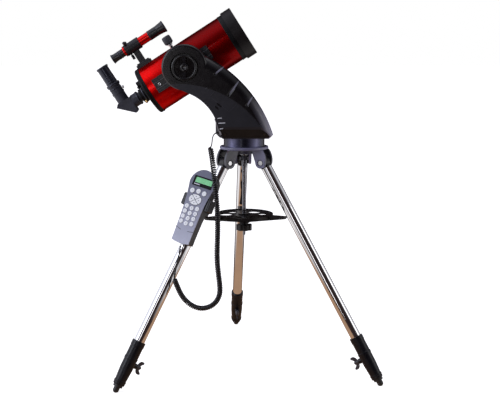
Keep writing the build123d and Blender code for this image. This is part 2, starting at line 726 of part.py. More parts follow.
def eye_screw_axis():
    """Eyepiece clamp screw: forward, across the eyepiece axis."""
    return Plane(origin=OTA.origin + OTA.z_dir * EYE_Z + OTA.y_dir * 55, x_dir=OTA.x_dir, z_dir=OTA.z_dir)


def eyepiece_screw():
    axis = eye_screw_axis()
    return disc(axis, 2, EYEPIECE_BORE + GAP, 22) + disc(axis, 4.5, 20.5, 25)


def eyepiece():
    axis = eye_axis()
    body = disc(axis, EYEPIECE_BORE, 50, 81) + disc(axis, 17.6, 80.2, 137) + disc(axis, 18.6, 133, 139)
    body -= disc(axis, 13.5, 49, 82) + disc(axis, 11, 80, 140)
    lens = disc(axis, 10.9, 120, 130)
    return [body, lens]


# ---- Handset and cord ---------------------------------------------------------------------
HANDSET = Plane(origin=HANDSET_CENTRE, x_dir=HANDSET_RIGHT, z_dir=HANDSET_FRONT)
HANDSET_BACK = -15.0
HANDSET_SEAM = 5.0
HANDSET_FACE = 15.0


def handset_outline(inset):
    """Face of the handset: tapered to the bottom, round at the top."""
    edges = [
        ThreePointArc((29.5, -109), (30.5, -50), (33, 3)),
        ThreePointArc((33, 3), (37, 37), (43, 68)),
        ThreePointArc((43, 68), (0, 113.5), (-43, 68)),
        ThreePointArc((-43, 68), (-37, 37), (-33, 3)),
        ThreePointArc((-33, 3), (-30.5, -50), (-29.5, -109)),
        ThreePointArc((-29.5, -109), (0, -112.5), (29.5, -109)),
    ]
    face = make_face(edges)
    return offset(face, amount=-inset) if inset else face


def handset_layer(inset, low, high):
    return extrude(HANDSET.offset(low) * handset_outline(inset), amount=high - low)


MENU_KEYS = [(-22.5, 45), (-2, 47.3), (18.7, 45)]
NUMBER_KEYS = [(-3 + 18.2 * column, -3.2 - 15.7 * row - (0 if column else 2.7))
               for row in range(4) for column in (-1, 0, 1)]
PAD_CENTRE = (-2.5, 21)
DIRECTIONS = {"key_right": 0, "key_up": 90, "key_left": 180, "key_down": 270}
LENS = (1.5, 76)


def pad_sector(direction, shrink):
    """A quarter of the oval direction pad, between its two diagonals."""
    a = radians(direction)
    oval = Ellipse(20.5 - shrink, 15.5 - shrink)
    left = (40 * cos(a + 0.66), 40 * sin(a + 0.66))
    right = (40 * cos(a - 0.66), 40 * sin(a - 0.66))
    if direction in (90, 270):
        left = (40 * cos(a + 0.91), 40 * sin(a + 0.91))
        right = (40 * cos(a - 0.91), 40 * sin(a - 0.91))
    start = (1.4 * cos(a), 1.4 * sin(a))
    sector = polygon(start, (left[0] + start[0], left[1] + start[1]), (right[0] + start[0], right[1] + start[1]))
    return Pos(*PAD_CENTRE) * (oval & sector)


def handset_front():
    shell = handset_layer(0, HANDSET_SEAM, HANDSET_FACE)
    shell -= handset_layer(2.5, HANDSET_SEAM, HANDSET_FACE - 2.5)
    cuts = [Pos(*spot) * Circle(7.7) for spot in MENU_KEYS]
    cuts += [Pos(*spot) * Circle(7.0) for spot in NUMBER_KEYS]
    cuts.append(Pos(*PAD_CENTRE) * Ellipse(21.5, 16.5))
    cuts.append(Pos(*LENS) * Rectangle(66.4, 29.9))
    for cut in cuts:
        shell -= extrude(HANDSET.offset(HANDSET_FACE - 4) * cut, amount=6)
    return shell


def handset_back():
    shell = handset_layer(0, HANDSET_BACK, HANDSET_SEAM)
    shell -= handset_layer(2.5, HANDSET_BACK + 2.5, HANDSET_SEAM + 1)
    shell -= block(HANDSET, (10, 20, 9), (-3.5, -112, -4))
    return shell


def handset_screen():
    """Screen window with the display module behind it."""
    window = block(HANDSET, (66, 29.5, 2.4), (*LENS, HANDSET_FACE - 1.3))
    return window + block(HANDSET, (60, 26, 4), (*LENS, HANDSET_FACE - 4.4))


def key_column(spot, radius):
    """One round key, standing 1.5 mm proud, with its stem down to the board."""
    key = extrude(HANDSET.offset(HANDSET_FACE - 6) * Pos(*spot) * Circle(radius), amount=7.5)
    return fillet(key.edges().group_by(SortBy.LENGTH)[-1][-1:], 0.8)


def menu_keys():
    return [key_column(spot, 7.4) for spot in MENU_KEYS]


def number_keys():
    return [key_column(spot, 6.7) for spot in NUMBER_KEYS]


def direction_key(direction):
    return extrude(HANDSET.offset(HANDSET_FACE - 6) * pad_sector(direction, 0), amount=7.5)


def handset_holder():
    """Clip round the leg, a plate behind the handset and a lip on each of its sides."""
    leg = leg_plane(LEG_AZIMUTHS[0])
    holder = disc(leg, 22, 126, 172)
    back = HANDSET_BACK - GAP
    holder += block(HANDSET, (84, 38, 5), (0, 16, back - 2.5))
    for side in (-1, 1):
        holder += block(HANDSET, (6, 36, 32), (side * 39, 16, back + 11))
    holder += block(HANDSET, (34, 34, 14), (8, 8, back - 8))
    holder -= handset_layer(-0.3, HANDSET_BACK - 0.3, 60)
    return holder - disc(leg, LEG_TUBE_R + 0.02, 100, 240)


def control_wire(points, diameter):
    """A cord's tube: straight runs joined by tangent arcs, each as large as its runs allow."""
    stops = [Vector(*point) for point in points]
    radii = []
    for before, here, after in zip(stops, stops[1:], stops[2:]):
        turn = (here - before).get_angle(after - here)
        shorter = min((here - before).length, (after - here).length)
        radii.append(0.45 * shorter / tan(radians(turn) / 2))
    path = FilletPolyline(*stops, radius=radii)
    start = Plane(origin=stops[0], z_dir=stops[1] - stops[0])
    tube = sweep(start * Circle(diameter / 2), path=path)
    expected = pi * (diameter / 2) ** 2 * path.length
    smallest = min(radii) if radii else 0
    print(f"cord {path.length:.0f} mm, radii {', '.join(f'{r:.0f}' for r in radii)}, "
          f"smallest {smallest / diameter:.1f} diameters, volume {tube.volume / expected:.4f} of expected")
    return tube


# The lead from the plug, the coiled cord, and the lead into the handset.
TOP_LEAD = [(-79.7, -59.05, 730.1), (-88, -60.5, 726), (-92.5, -66, 716), (-93.5, -76, 704), (-94.5, -87, 693.5)]
COIL = [
    (-98, -93, 689), (-93, -110, 668), (-88, -130, 633), (-83, -144, 594), (-79, -153, 552),
    (-76, -160, 506), (-75, -165, 459), (-77, -168, 412), (-77.5, -170, 366), (-73, -171, 322),
    (-69, -172, 290), (-70.5, -172.3, 265), (-82.5, -172.8, 243), (-103.5, -173.3, 229.5),
    (-128.5, -173.8, 226.5), (-151.5, -174.6, 235.5), (-170.5, -176, 252), (-186.5, -178.5, 276),
    (-201, -183, 318),
]
BOTTOM_LEAD = [(-201.1, -182.9, 319.2), (-198, -182, 341), (-193, -178, 363), (-187, -166, 388), (-183.8, -151, 407.5)]


def main():
    os.makedirs("parts", exist_ok=True)
    write("tripod_hub", tripod_hub())
    write("leg_pivot_bolts", *leg_pivot_bolts())
    write("centre_rod", centre_rod())
    write("hub_knob", hub_knob())
    write("azimuth_base", azimuth_base())
    for number, azimuth in enumerate(LEG_AZIMUTHS, start=1):
        write(f"leg_{number}_tube", *leg_tube(azimuth))
        write(f"leg_{number}_sleeve", leg_sleeve(azimuth))
        write(f"leg_{number}_lower", *leg_lower(azimuth))
        write(f"leg_{number}_screw", leg_screw(azimuth))
    write("accessory_tray", accessory_tray())
    write("tray_knob", *tray_knob())
    write("arm_casing", arm_casing())
    write("arm_inner_cover", arm_inner_cover())
    write("base_cover", base_cover())
    write("port_panel", port_panel())
    write("casing_screws", *casing_screws())
    write("worm_wheels", *worm_wheels())
    write("drive_motors", *drive_motors())
    write("control_board", control_board())
    write("power_switch", power_switch())
    write("clutch_knob", clutch_knob())
    write("saddle", saddle())
    write("clamp_knob", clamp_knob())
    write("dovetail_bar", dovetail_bar())
    write("main_tube", main_tube())
    write("rear_cell", *rear_cell())
    write("front_cell", front_cell())
    write("corrector_lens", corrector_lens())
    write("primary_mirror", *primary_mirror())
    write("focus_knob", focus_knob())
    write("dust_cap", dust_cap())
    write("finder_shoe", finder_shoe())
    write("finder_bracket", *finder_bracket())
    write("finder_tube", *finder_tube())
    write("diagonal_housing", diagonal_housing())
    write("eyepiece", *eyepiece())
    write("eyepiece_screw", eyepiece_screw())
    write("handset_front", handset_front())
    write("handset_back", handset_back())
    write("handset_screen", handset_screen())
    write("handset_holder", handset_holder())
    write("menu_keys", *menu_keys())
    write("number_keys", *number_keys())
    for name, direction in DIRECTIONS.items():
        write(name, direction_key(direction))
    write("cord_plug", cord_plug())
    write("cord_top_lead", control_wire(TOP_LEAD, CORD_D))
    write("cord_coil", control_wire(COIL, COIL_D))
    write("cord_bottom_lead", control_wire(BOTTOM_LEAD, CORD_D))


main()
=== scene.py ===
from math import atan2, cos, pi, radians, sin

import bmesh
import bpy
from mathutils import Matrix, Vector


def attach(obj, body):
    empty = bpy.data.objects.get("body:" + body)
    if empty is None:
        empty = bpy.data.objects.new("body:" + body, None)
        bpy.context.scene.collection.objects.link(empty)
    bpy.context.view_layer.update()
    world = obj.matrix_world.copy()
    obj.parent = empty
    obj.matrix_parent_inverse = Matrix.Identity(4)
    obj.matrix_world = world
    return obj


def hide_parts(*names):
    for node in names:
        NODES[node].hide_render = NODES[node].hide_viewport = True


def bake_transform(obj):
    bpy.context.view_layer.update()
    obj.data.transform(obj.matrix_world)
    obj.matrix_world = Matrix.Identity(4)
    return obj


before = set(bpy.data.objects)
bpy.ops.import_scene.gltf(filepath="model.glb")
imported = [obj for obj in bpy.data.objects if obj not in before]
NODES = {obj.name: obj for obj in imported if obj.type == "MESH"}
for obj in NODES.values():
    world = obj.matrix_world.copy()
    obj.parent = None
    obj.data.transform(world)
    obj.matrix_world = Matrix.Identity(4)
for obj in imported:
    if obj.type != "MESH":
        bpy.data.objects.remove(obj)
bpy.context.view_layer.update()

# One-arm telescope mount on a tripod. Lengths are in millimetres until place() makes metres.
# The telescope's frame (OTA) starts on the altitude axis, with its Z forward along the tube.
TILT = radians(32.5)
AXIS = Vector((-173.0, 88.0, 920.0))
OTA_X = Vector((0, 1, 0))
OTA_Y = Vector((-sin(TILT), 0, cos(TILT)))
OTA_Z = Vector((cos(TILT), 0, sin(TILT)))
BAR_OUT = 85.0                    # from the tube's axis to the dovetail bar's outer face

# The handset's frame starts at its middle, with Y toward its top and Z out of its face.
HANDSET_CENTRE = Vector((-140.9, -119.6, 515.1))
HANDSET_X = Vector((0.8485, -0.4882, -0.2031)).normalized()
HANDSET_Z = Vector((-0.3905, -0.8375, 0.382)).normalized()
HANDSET_Y = HANDSET_Z.cross(HANDSET_X).normalized()
FACE = 15.0                       # height of the handset's face in its own frame
KEY_TOP = 16.5
FACE_EDGE = 12.5                  # where the pale face gives way to the black sides

LEG_AZIMUTHS = (214.1, 334.1, 94.1)
SPLAY = radians(30.9)
PIVOT_R = 66.0
PIVOT_Z = 638.0
LEG_LENGTH = PIVOT_Z / cos(SPLAY)
LEG_PLUG = 18                     # length of the black plug at the top of a leg
FOOT_LENGTH = 40
SCREW_ABOVE_FOOT = 91             # from a leg's end up to its wing screw

FLANGE_LOW = 676.0                # underside of the tripod hub's flange
ARM_FRONT = -74.0                 # Y of the arm's flat outer side
SPINE = Vector((-286, 0, 603))    # centre of the arm's curved back


def place(*xyz):
    """Millimetres in the row frame to metres."""
    return Vector(xyz) / 1000


def axes(origin, x_dir, y_dir, z_dir):
    """A matrix from a local frame in metres to the row frame; origin in millimetres."""
    matrix = Matrix((x_dir, y_dir, z_dir)).transposed().to_4x4()
    matrix.translation = Vector(origin) / 1000
    return matrix


OTA = axes(AXIS, OTA_X, OTA_Y, OTA_Z)
HANDSET = axes(HANDSET_CENTRE, HANDSET_X, HANDSET_Y, HANDSET_Z)
ARM_FACE = axes((0, ARM_FRONT, 0), (1, 0, 0), (0, 0, 1), (0, -1, 0))
BAR_FACE = axes(AXIS - OTA_X * BAR_OUT, OTA_Z, OTA_Y, -OTA_X)


# ---- Node trees ---------------------------------------------------------------------------
class Graph:
    """A shader node tree with short ways to add and join nodes."""

    def __init__(self, tree):
        self.tree = tree

    def feed(self, value, socket):
        if isinstance(value, bpy.types.NodeSocket):
            self.tree.links.new(value, socket)
        elif isinstance(value, (tuple, list)):
            lacks_alpha = len(value) == 3 and len(socket.default_value) == 4
            socket.default_value = (*value, 1) if lacks_alpha else value
        else:
            socket.default_value = value

    def add(self, kind, **inputs):
        """A new node, its inputs given by name with underscores for spaces."""
        node = self.tree.nodes.new("ShaderNode" + kind)
        for name, value in inputs.items():
            self.feed(value, node.inputs[name.replace("_", " ")])
        return node

    def spread(self, socket, low, high, start=0.3, end=0.7):
        """Map start..end to low..high, held at both ends."""
        node = self.add("MapRange", From_Min=start, From_Max=end, To_Min=low, To_Max=high, Value=socket)
        return node.outputs["Result"]

    def mix(self, factor, a, b, blend="MIX"):
        node = self.add("Mix")
        node.data_type = "RGBA"
        node.blend_type = blend
        for name, value in (("Factor", factor), ("A", a), ("B", b)):
            self.feed(value, node.inputs[name])
        return node.outputs["Result"]

    def math(self, operation, *values):
        node = self.add("Math")
        node.operation = operation
        for value, socket in zip(values, node.inputs):
            self.feed(value, socket)
        return node.outputs[0]

    def vector(self, operation, *values):
        node = self.add("VectorMath")
        node.operation = operation
        for value, socket in zip(values, node.inputs):
            self.feed(value, socket)
        return node.outputs

    def seen_or_reflected(self, seen, reflected, kind):
        """One shader straight to the camera and another to every other ray."""
        choose = self.add("MixShader")
        straight = self.add("LightPath").outputs["Is Camera Ray"]
        for value, socket in zip((straight, reflected, seen), choose.inputs):
            self.feed(value, socket)
        self.add("Output" + kind, Surface=choose.outputs[0])


# ---- Camera, light and floor --------------------------------------------------------------
def make_camera():
    data = bpy.data.cameras.new("camera")
    data.lens = 70.4
    data.sensor_width = 36.0
    data.clip_end = 100
    camera = bpy.data.objects.new("camera", data)
    camera.location = (0.0178, -2.934, 0.989)
    pitch_down = 9.10
    camera.rotation_euler = (radians(90 - pitch_down), 0, 0)
    bpy.context.scene.collection.objects.link(camera)
    bpy.context.scene.camera = camera


def area_light(name, at, target, size, power, color):
    data = bpy.data.lights.new(name, "AREA")
    data.shape = "RECTANGLE"
    data.size, data.size_y = size
    data.energy = power
    data.color = color
    light = bpy.data.objects.new(name, data)
    light.location = at
    direction = Vector(target) - Vector(at)
    light.rotation_euler = direction.to_track_quat("-Z", "Y").to_euler()
    bpy.context.scene.collection.objects.link(light)


def make_world():
    """White to look at; to a glossy surface, a room with bright sides and a dark front and back."""
    world = bpy.data.worlds.new("studio")
    bpy.context.scene.world = world
    world.use_nodes = True
    world.node_tree.nodes.clear()
    g = Graph(world.node_tree)
    split = g.add("SeparateXYZ", Vector=g.add("TexCoord").outputs["Generated"])

    def ramp(axis, stops):
        """Colours along one axis of the room: 0 and 1 are its two ends and 0.5 is level with the object."""
        node = g.add("ValToRGB")
        while len(node.color_ramp.elements) < len(stops):
            node.color_ramp.elements.new(0.5)
        for element, (at, color) in zip(node.color_ramp.elements, stops):
            element.position = at
            element.color = (*color, 1)
        g.feed(g.math("MULTIPLY_ADD", split.outputs[axis], 0.5, 0.5), node.inputs[0])
        return node.outputs[0]

    sides = ramp("X", [
        (0.0, (1.25, 1.28, 1.4)), (0.17, (1.0, 1.02, 1.15)), (0.27, (0.13, 0.12, 0.15)),
        (0.36, (0.036, 0.024, 0.024)), (0.74, (0.030, 0.020, 0.020)), (0.84, (0.10, 0.10, 0.11)),
        (0.93, (0.8, 0.8, 0.84)), (1.0, (1.0, 1.0, 1.04)),
    ])
    above = ramp("Z", [
        (0.0, (0, 0, 0)), (0.80, (0, 0, 0)), (0.93, (0.5, 0.5, 0.58)), (1.0, (0.7, 0.7, 0.75)),
    ])
    studio = g.add("Background", Strength=0.85, Color=g.mix(1, sides, above, "ADD"))
    white = g.add("Background", Strength=1.0, Color=(1, 1, 1))
    g.seen_or_reflected(white.outputs[0], studio.outputs[0], "World")


def make_floor():
    """A wide pale floor; in reflections it is warm close by, pale at the sides and dark elsewhere."""
    warm_tone = (0.42, 0.26, 0.165)
    pale_tone = (0.95, 0.93, 0.94)
    dark_tone = (0.040, 0.024, 0.022)
    reach = 40
    mesh = bpy.data.meshes.new("floor")
    corners = [(x * reach, y * reach, 0) for x, y in ((-1, -1), (1, -1), (1, 1), (-1, 1))]
    mesh.from_pydata(corners, [], [(0, 1, 2, 3)])
    floor = bpy.data.objects.new("floor", mesh)
    bpy.context.scene.collection.objects.link(floor)
    material = bpy.data.materials.new("floor")
    material.use_nodes = True
    material.node_tree.nodes.clear()
    mesh.materials.append(material)
    g = Graph(material.node_tree)
    lit = g.add("AddShader")
    pale = g.add("BsdfDiffuse", Color=(0.86, 0.86, 0.87))
    glow = g.add("Emission", Color=(1, 1, 1), Strength=0.8)
    for shader, socket in zip((pale, glow), lit.inputs):
        g.feed(shader.outputs[0], socket)
    where = g.add("TexCoord").outputs["Object"]
    heading = g.vector("NORMALIZE", where)["Vector"]
    sideways = g.vector("LENGTH", g.vector("MULTIPLY", heading, (1, 0, 0))["Vector"])["Value"]
    distance = g.vector("LENGTH", g.vector("MULTIPLY", where, (1.5, 1, 0))["Vector"])["Value"]
    far = g.mix(g.spread(sideways, 0, 1, 0.55, 0.85), dark_tone, pale_tone)
    tone = g.mix(g.spread(distance, 0, 1, 0.55, 1.05), warm_tone, far)
    g.seen_or_reflected(lit.outputs[0], g.add("Emission", Color=tone).outputs[0], "Material")


make_camera()
make_world()
make_floor()
area_light("key", at=(-2.6, -1.2, 1.7), target=(-0.05, 0, 0.6), size=(0.9, 2.0), power=26,
           color=(0.86, 0.90, 1.0))
area_light("strip", at=(-0.65, -2.1, 0.85), target=(-0.2, 0, 0.8), size=(0.3, 1.5), power=3,
           color=(1.0, 0.98, 1.0))
area_light("fill", at=(2.7, -0.8, 1.2), target=(0, 0, 0.6), size=(0.5, 2.0), power=8,
           color=(1.0, 0.98, 0.97))
area_light("top", at=(0.2, 0.5, 3.4), target=(0, 0, 0.6), size=(2.0, 1.2), power=10, color=(1, 1, 1))
bpy.context.scene.view_settings.view_transform = "Standard"


# ---- Materials ----------------------------------------------------------------------------
class Shader(Graph):
    """A Principled material; every pattern uses the object's own coordinates."""

    def __init__(self, name):
        self.material = bpy.data.materials.new(name)
        self.material.use_nodes = True
        super().__init__(self.material.node_tree)
        self.bsdf = self.tree.nodes["Principled BSDF"]
        self.coords = self.add("TexCoord").outputs["Object"]
        self.normal = None

    def set(self, **values):
        for name, value in values.items():
            self.feed(value, self.bsdf.inputs[name.replace("_", " ")])

    def noise(self, scale, detail=3.0, roughness=0.6, stretch=None):
        vector = self.coords
        if stretch:
            factors, turn = stretch
            vector = self.add("Mapping", Vector=vector, Scale=factors, Rotation=turn).outputs[0]
        node = self.add("TexNoise", Scale=scale, Detail=detail, Roughness=roughness, Vector=vector)
        return node.outputs["Fac"]

    def cells(self, scale):
        return self.add("TexVoronoi", Scale=scale, Vector=self.coords).outputs["Distance"]

    def cloud(self, dark, light, scale, detail=3):
        """Two colours in soft patches."""
        return self.mix(self.spread(self.noise(scale, detail), 0, 1), dark, light)

    def patchy(self, low, high, scale, detail=3):
        """A value that drifts between two limits."""
        return self.spread(self.noise(scale, detail), low, high)

    def along(self, origin, direction):
        """Distance in millimetres along a direction of the row frame, from an origin in millimetres."""
        distance = self.vector("DOT_PRODUCT", self.coords, tuple(Vector(direction) * 1000))["Value"]
        return self.math("SUBTRACT", distance, Vector(origin).dot(Vector(direction)))

    def square_sum(self, a, b):
        return self.math("ADD", self.math("MULTIPLY", a, a), self.math("MULTIPLY", b, b))

    def step(self, distance, edge, soft=0.3):
        """0 before an edge in millimetres and 1 after it."""
        return self.spread(distance, 0, 1, edge - soft, edge + soft)

    def band(self, distance, start, end):
        """1 between two edges and 0 outside them."""
        after_start = self.step(distance, start)
        before_end = self.math("SUBTRACT", 1.0, self.step(distance, end))
        return self.math("MULTIPLY", after_start, before_end)

    def stripe(self, distance, middle, half):
        """0 on a narrow stripe and 1 beside it."""
        return self.step(self.math("ABSOLUTE", self.math("SUBTRACT", distance, middle)), half, 0.2)

    def worn_edges(self, color, worn, amount=0.5):
        """Edges and corners a little lighter, where handling polishes them."""
        pointed = self.add("NewGeometry").outputs["Pointiness"]
        edge = self.spread(pointed, 0.0, amount, 0.55, 0.68)
        return self.mix(self.math("MULTIPLY", edge, self.patchy(0.2, 1.0, 160)), color, worn)

    def bump(self, height, distance, strength=1.0):
        node = self.add("Bump", Strength=strength, Distance=distance, Height=height)
        if self.normal is not None:
            self.feed(self.normal, node.inputs["Normal"])
        self.normal = node.outputs["Normal"]
        self.set(Normal=self.normal)


def scaled(color, factor, lift=0.0):
    return tuple(min(1, c * factor + lift) for c in color)


def moulded(name, color, rough=0.42, grain=1500, depth=0.00005, vary=0.25, worn=None, coat=0.0,
            specular=0.35):
    """Moulded plastic: fine spark-eroded grain, slight mottling, softly polished edges."""
    s = Shader(name)
    body = s.cloud(scaled(color, 1 - vary), scaled(color, 1 + vary), 35, 4)
    s.set(Base_Color=s.worn_edges(body, worn or scaled(color, 1.8, 0.008), 0.35),
          Roughness=s.patchy(rough - 0.06, rough + 0.07, 70), Specular_IOR_Level=specular)
    s.bump(s.cells(grain), depth, 0.35)
    s.bump(s.noise(grain * 0.35, 2), depth * 1.2, 0.25)
    if coat:
        s.set(Coat_Weight=coat, Coat_Roughness=0.12)
    return s.material


def metal(name, color, rough=0.2, depth=0.00002, smudge=0.08):
    """Bare metal with fine turning marks and finger smudges."""
    s = Shader(name)
    marks = s.noise(650, 3)
    wear = s.math("ADD", s.patchy(0, smudge, 22, 4), s.spread(marks, 0, smudge * 0.5))
    s.set(Base_Color=s.cloud(scaled(color, 0.9), scaled(color, 1.08), 45, 5), Metallic=1.0,
          Roughness=s.math("ADD", wear, rough))
    s.bump(marks, depth, 0.35)
    return s.material


def anodised_finish():
    """Black anodised aluminium under a thin clear layer."""
    s = Shader("black_anodised")
    color = (0.011, 0.011, 0.017)
    body = s.cloud(scaled(color, 0.85), scaled(color, 1.15), 28, 4)
    s.set(Base_Color=s.worn_edges(body, scaled(color, 1.5, 0.008), 0.3), Roughness=s.patchy(0.21, 0.32, 90),
          Specular_Tint=(0.68, 0.74, 1.0), Coat_Weight=0.3, Coat_Roughness=0.18)
    s.bump(s.noise(500, 3), 0.00001, 0.6)
    return s.material


FLAKE_SCALE = 2600
RED_BRIGHT = (0.95, 0.004, 0.004)
RED_FLAKE = (0.62, 0.004, 0.003)
LACQUER_METAL = 0.93


def red_lacquer():
    """Metallic red lacquer with flakes and a clear coat, with painted light at the rear of the tube and
    painted shade deepening toward its front.
    """
    s = Shader("red_lacquer")
    # Painted light and shade: a lit red at the rear of the tube runs into a shaded red toward the front.
    shade_from, shade_to = -105, 5
    flakes = s.spread(s.cells(FLAKE_SCALE), 0, 1, 0.05, 0.55)
    painted_lit_red = s.mix(flakes, RED_FLAKE, RED_BRIGHT)
    painted_shade_red = s.mix(flakes, (0.10, 0.0, 0.001), (0.26, 0.0006, 0.0012))
    distance = s.math("ADD", s.along(AXIS, OTA_Z), s.patchy(-8, 8, 9))
    body = s.mix(s.spread(distance, 0, 1, shade_from, shade_to), painted_lit_red, painted_shade_red)
    s.set(Base_Color=body, Metallic=LACQUER_METAL, Roughness=s.patchy(0.27, 0.33, 60),
          Specular_Tint=(0.5, 0.02, 0.03), Coat_Weight=0.12, Coat_Roughness=0.07)
    s.bump(s.cells(FLAKE_SCALE), 0.00001, 0.15)
    return s.material


def finder_finish():
    """Black finder with red lacquer on its sleeve and on a narrow ring at the rear."""
    s = Shader("finder_finish")
    distance = s.along(AXIS, OTA_Z)
    sleeve = s.band(distance, -100, -50.2)
    ring = s.band(distance, -141, -134)
    red = s.math("ADD", sleeve, ring)
    flakes = s.mix(s.spread(s.cells(FLAKE_SCALE), 0, 1, 0.05, 0.55), RED_FLAKE, RED_BRIGHT)
    black = s.cloud((0.008, 0.008, 0.010), (0.013, 0.013, 0.016), 60)
    s.set(Base_Color=s.mix(red, black, flakes), Metallic=s.math("MULTIPLY", red, LACQUER_METAL),
          Roughness=s.patchy(0.27, 0.36, 70), Coat_Weight=0.25, Coat_Roughness=0.15)
    s.bump(s.cells(2200), 0.00002, 0.25)
    return s.material


def bar_finish():
    """Black anodised dovetail bar, with two bright lines and two dark ribs along its outer face."""
    s = Shader("bar_finish")
    across = s.math("ABSOLUTE", s.along(AXIS, OTA_Y))
    line = s.stripe(across, 9.0, 0.6)
    rib = s.stripe(across, 15.5, 1.1)
    black = s.cloud((0.010, 0.010, 0.013), (0.016, 0.016, 0.020), 60)
    body = s.mix(line, (0.13, 0.13, 0.15), s.mix(rib, (0.03, 0.03, 0.036), black))
    s.set(Base_Color=body, Roughness=s.patchy(0.33, 0.4, 90))
    s.bump(s.math("MULTIPLY", line, rib), 0.0002, 0.6)
    return s.material


def arm_finish():
    """The arm's moulding: satin flat panels, a darker gloss on the rounded back beyond the seam, painted
    highlights on scallops across the back and a painted highlight along the back's edge low on it."""
    s = Shader("arm_finish")
    x = s.along(SPINE, (1, 0, 0))
    z = s.along(SPINE, (0, 0, 1))
    reach = s.math("SQRT", s.square_sum(x, z))
    seam_slope = 0.33
    seam_start = 321 - seam_slope * 202
    seam = s.math("MULTIPLY_ADD", x, seam_slope, seam_start)
    back = s.step(s.math("SUBTRACT", reach, seam), 0, 1.0)
    panel = s.cloud((0.014, 0.014, 0.020), (0.019, 0.019, 0.027), 30, 4)
    gloss = s.cloud((0.0045, 0.004, 0.005), (0.007, 0.006, 0.008), 30, 4)
    body = s.worn_edges(s.mix(back, panel, gloss), (0.035, 0.035, 0.045), 0.3)
    # Painted highlights: pale lens-shaped marks where light catches the scallops.
    glint_half_width = 3.4
    for start, end in (((-84, 901), (-62, 919)), ((-45, 840), (-17, 877)), ((9, 810), (23, 831))):
        a, b = Vector((start[0], 0, start[1])), Vector((end[0], 0, end[1]))
        lengthwise = (b - a).normalized()
        painted_glint_centre = a.lerp(b, 0.6)
        u = s.math("DIVIDE", s.along(painted_glint_centre, lengthwise), (b - a).length / 2 + 5)
        v = s.math("DIVIDE", s.along(painted_glint_centre, (-lengthwise.z, 0, lengthwise.x)), glint_half_width)
        body = s.mix(s.spread(s.square_sum(u, v), 0.9, 0, 0.1, 1.0), body, (0.22, 0.22, 0.29))
    # Painted highlight along the back's outer edge, low on the arm.
    edge = s.math("MULTIPLY", s.spread(reach, 0, 1, 363, 388), s.spread(z, 1, 0, 110, 235))
    body = s.mix(edge, body, (0.32, 0.31, 0.40))
    rough = s.math("ADD", s.spread(back, 0.40, 0.23, 0, 1), s.patchy(-0.04, 0.05, 70))
    s.set(Base_Color=body, Roughness=rough, Specular_IOR_Level=0.4)
    s.bump(s.cells(1500), 0.00003, 0.3)
    s.bump(s.noise(500, 2), 0.00004, 0.2)
    return s.material


def ring_finish():
    """Dark enamel on the azimuth ring, with painted highlights that make its two flanks paler than its front
    and back.
    """
    s = Shader("ring_paint")
    across = s.math("ABSOLUTE", s.along((0, 0, 0), (1, 0, 0)))
    across = s.math("ADD", across, s.patchy(-1.5, 1.5, 28))
    # Painted highlight: the flanks are paler where the side lights would reflect.
    pale = s.math("MULTIPLY", s.spread(across, 0, 1, 4, 36), s.spread(across, 1, 0, 38, 60))
    body = s.mix(s.math("POWER", pale, 2.2), (0.006, 0.006, 0.010), (0.27, 0.27, 0.46))
    s.set(Base_Color=s.worn_edges(body, (0.10, 0.10, 0.16), 0.3), Roughness=s.patchy(0.24, 0.34, 90),
          Specular_Tint=(0.62, 0.66, 1.0), Specular_IOR_Level=0.3, Coat_Weight=0.2, Coat_Roughness=0.18)
    s.bump(s.noise(500, 3), 0.00001, 0.6)
    return s.material


def hub_finish():
    """Blue-grey enamel on the tripod hub, with painted shade that makes it darker in the middle under the
    flange, on the lugs' outer ends and on one side.
    """
    s = Shader("hub_paint")
    x = s.math("ADD", s.along((0, 0, 0), (1, 0, 0)), s.patchy(-3, 3, 28))
    y = s.along((0, 0, 0), (0, 1, 0))
    # Painted light and shade: one side of the hub lit, the other shaded.
    side = s.spread(x, 0, 1, -48, 16)
    enamel_painted_side_light = s.mix(s.math("POWER", side, 1.6), (0.026, 0.025, 0.040), (0.20, 0.20, 0.32))
    # Painted shade on the lugs' outer ends and in the middle under the flange.
    painted_shade_ends = s.spread(s.math("ABSOLUTE", x), 0, 1, 57, 63)
    middle = s.spread(s.math("SQRT", s.square_sum(x, y)), 1, 0, 40, 52)
    body = s.mix(s.math("MAXIMUM", painted_shade_ends, middle), enamel_painted_side_light, (0.012, 0.011, 0.016))
    flange = s.step(s.along((0, 0, FLANGE_LOW), (0, 0, 1)), 0)
    body = s.mix(flange, body, (0.15, 0.15, 0.25))
    s.set(Base_Color=s.worn_edges(body, (0.28, 0.28, 0.40), 0.2), Roughness=s.patchy(0.29, 0.40, 90),
          Coat_Weight=0.3, Coat_Roughness=0.18)
    s.bump(s.noise(260, 3), 0.00004, 0.6)
    return s.material


def handset_finish():
    """Bluish grey moulding with black sides, with a painted highlight that makes it paler toward the
    handset's lower end.
    """
    s = Shader("handset_finish")
    height = s.math("ADD", s.along(HANDSET_CENTRE, HANDSET_Y), s.patchy(-5, 5, 20))
    # Painted highlight: the face grows paler toward the lower end.
    body = s.mix(s.spread(height, 1, 0, -105, 60), (0.12, 0.125, 0.20), (0.50, 0.52, 0.66))
    body = s.mix(s.step(s.along(HANDSET_CENTRE, HANDSET_Z), FACE_EDGE, 0.4), (0.010, 0.009, 0.010), body)
    s.set(Base_Color=s.worn_edges(body, (0.3, 0.31, 0.38), 0.3), Roughness=s.patchy(0.38, 0.48, 70),
          Specular_IOR_Level=0.35)
    s.bump(s.cells(1500), 0.00004, 0.35)
    s.bump(s.noise(500, 2), 0.00004, 0.25)
    return s.material


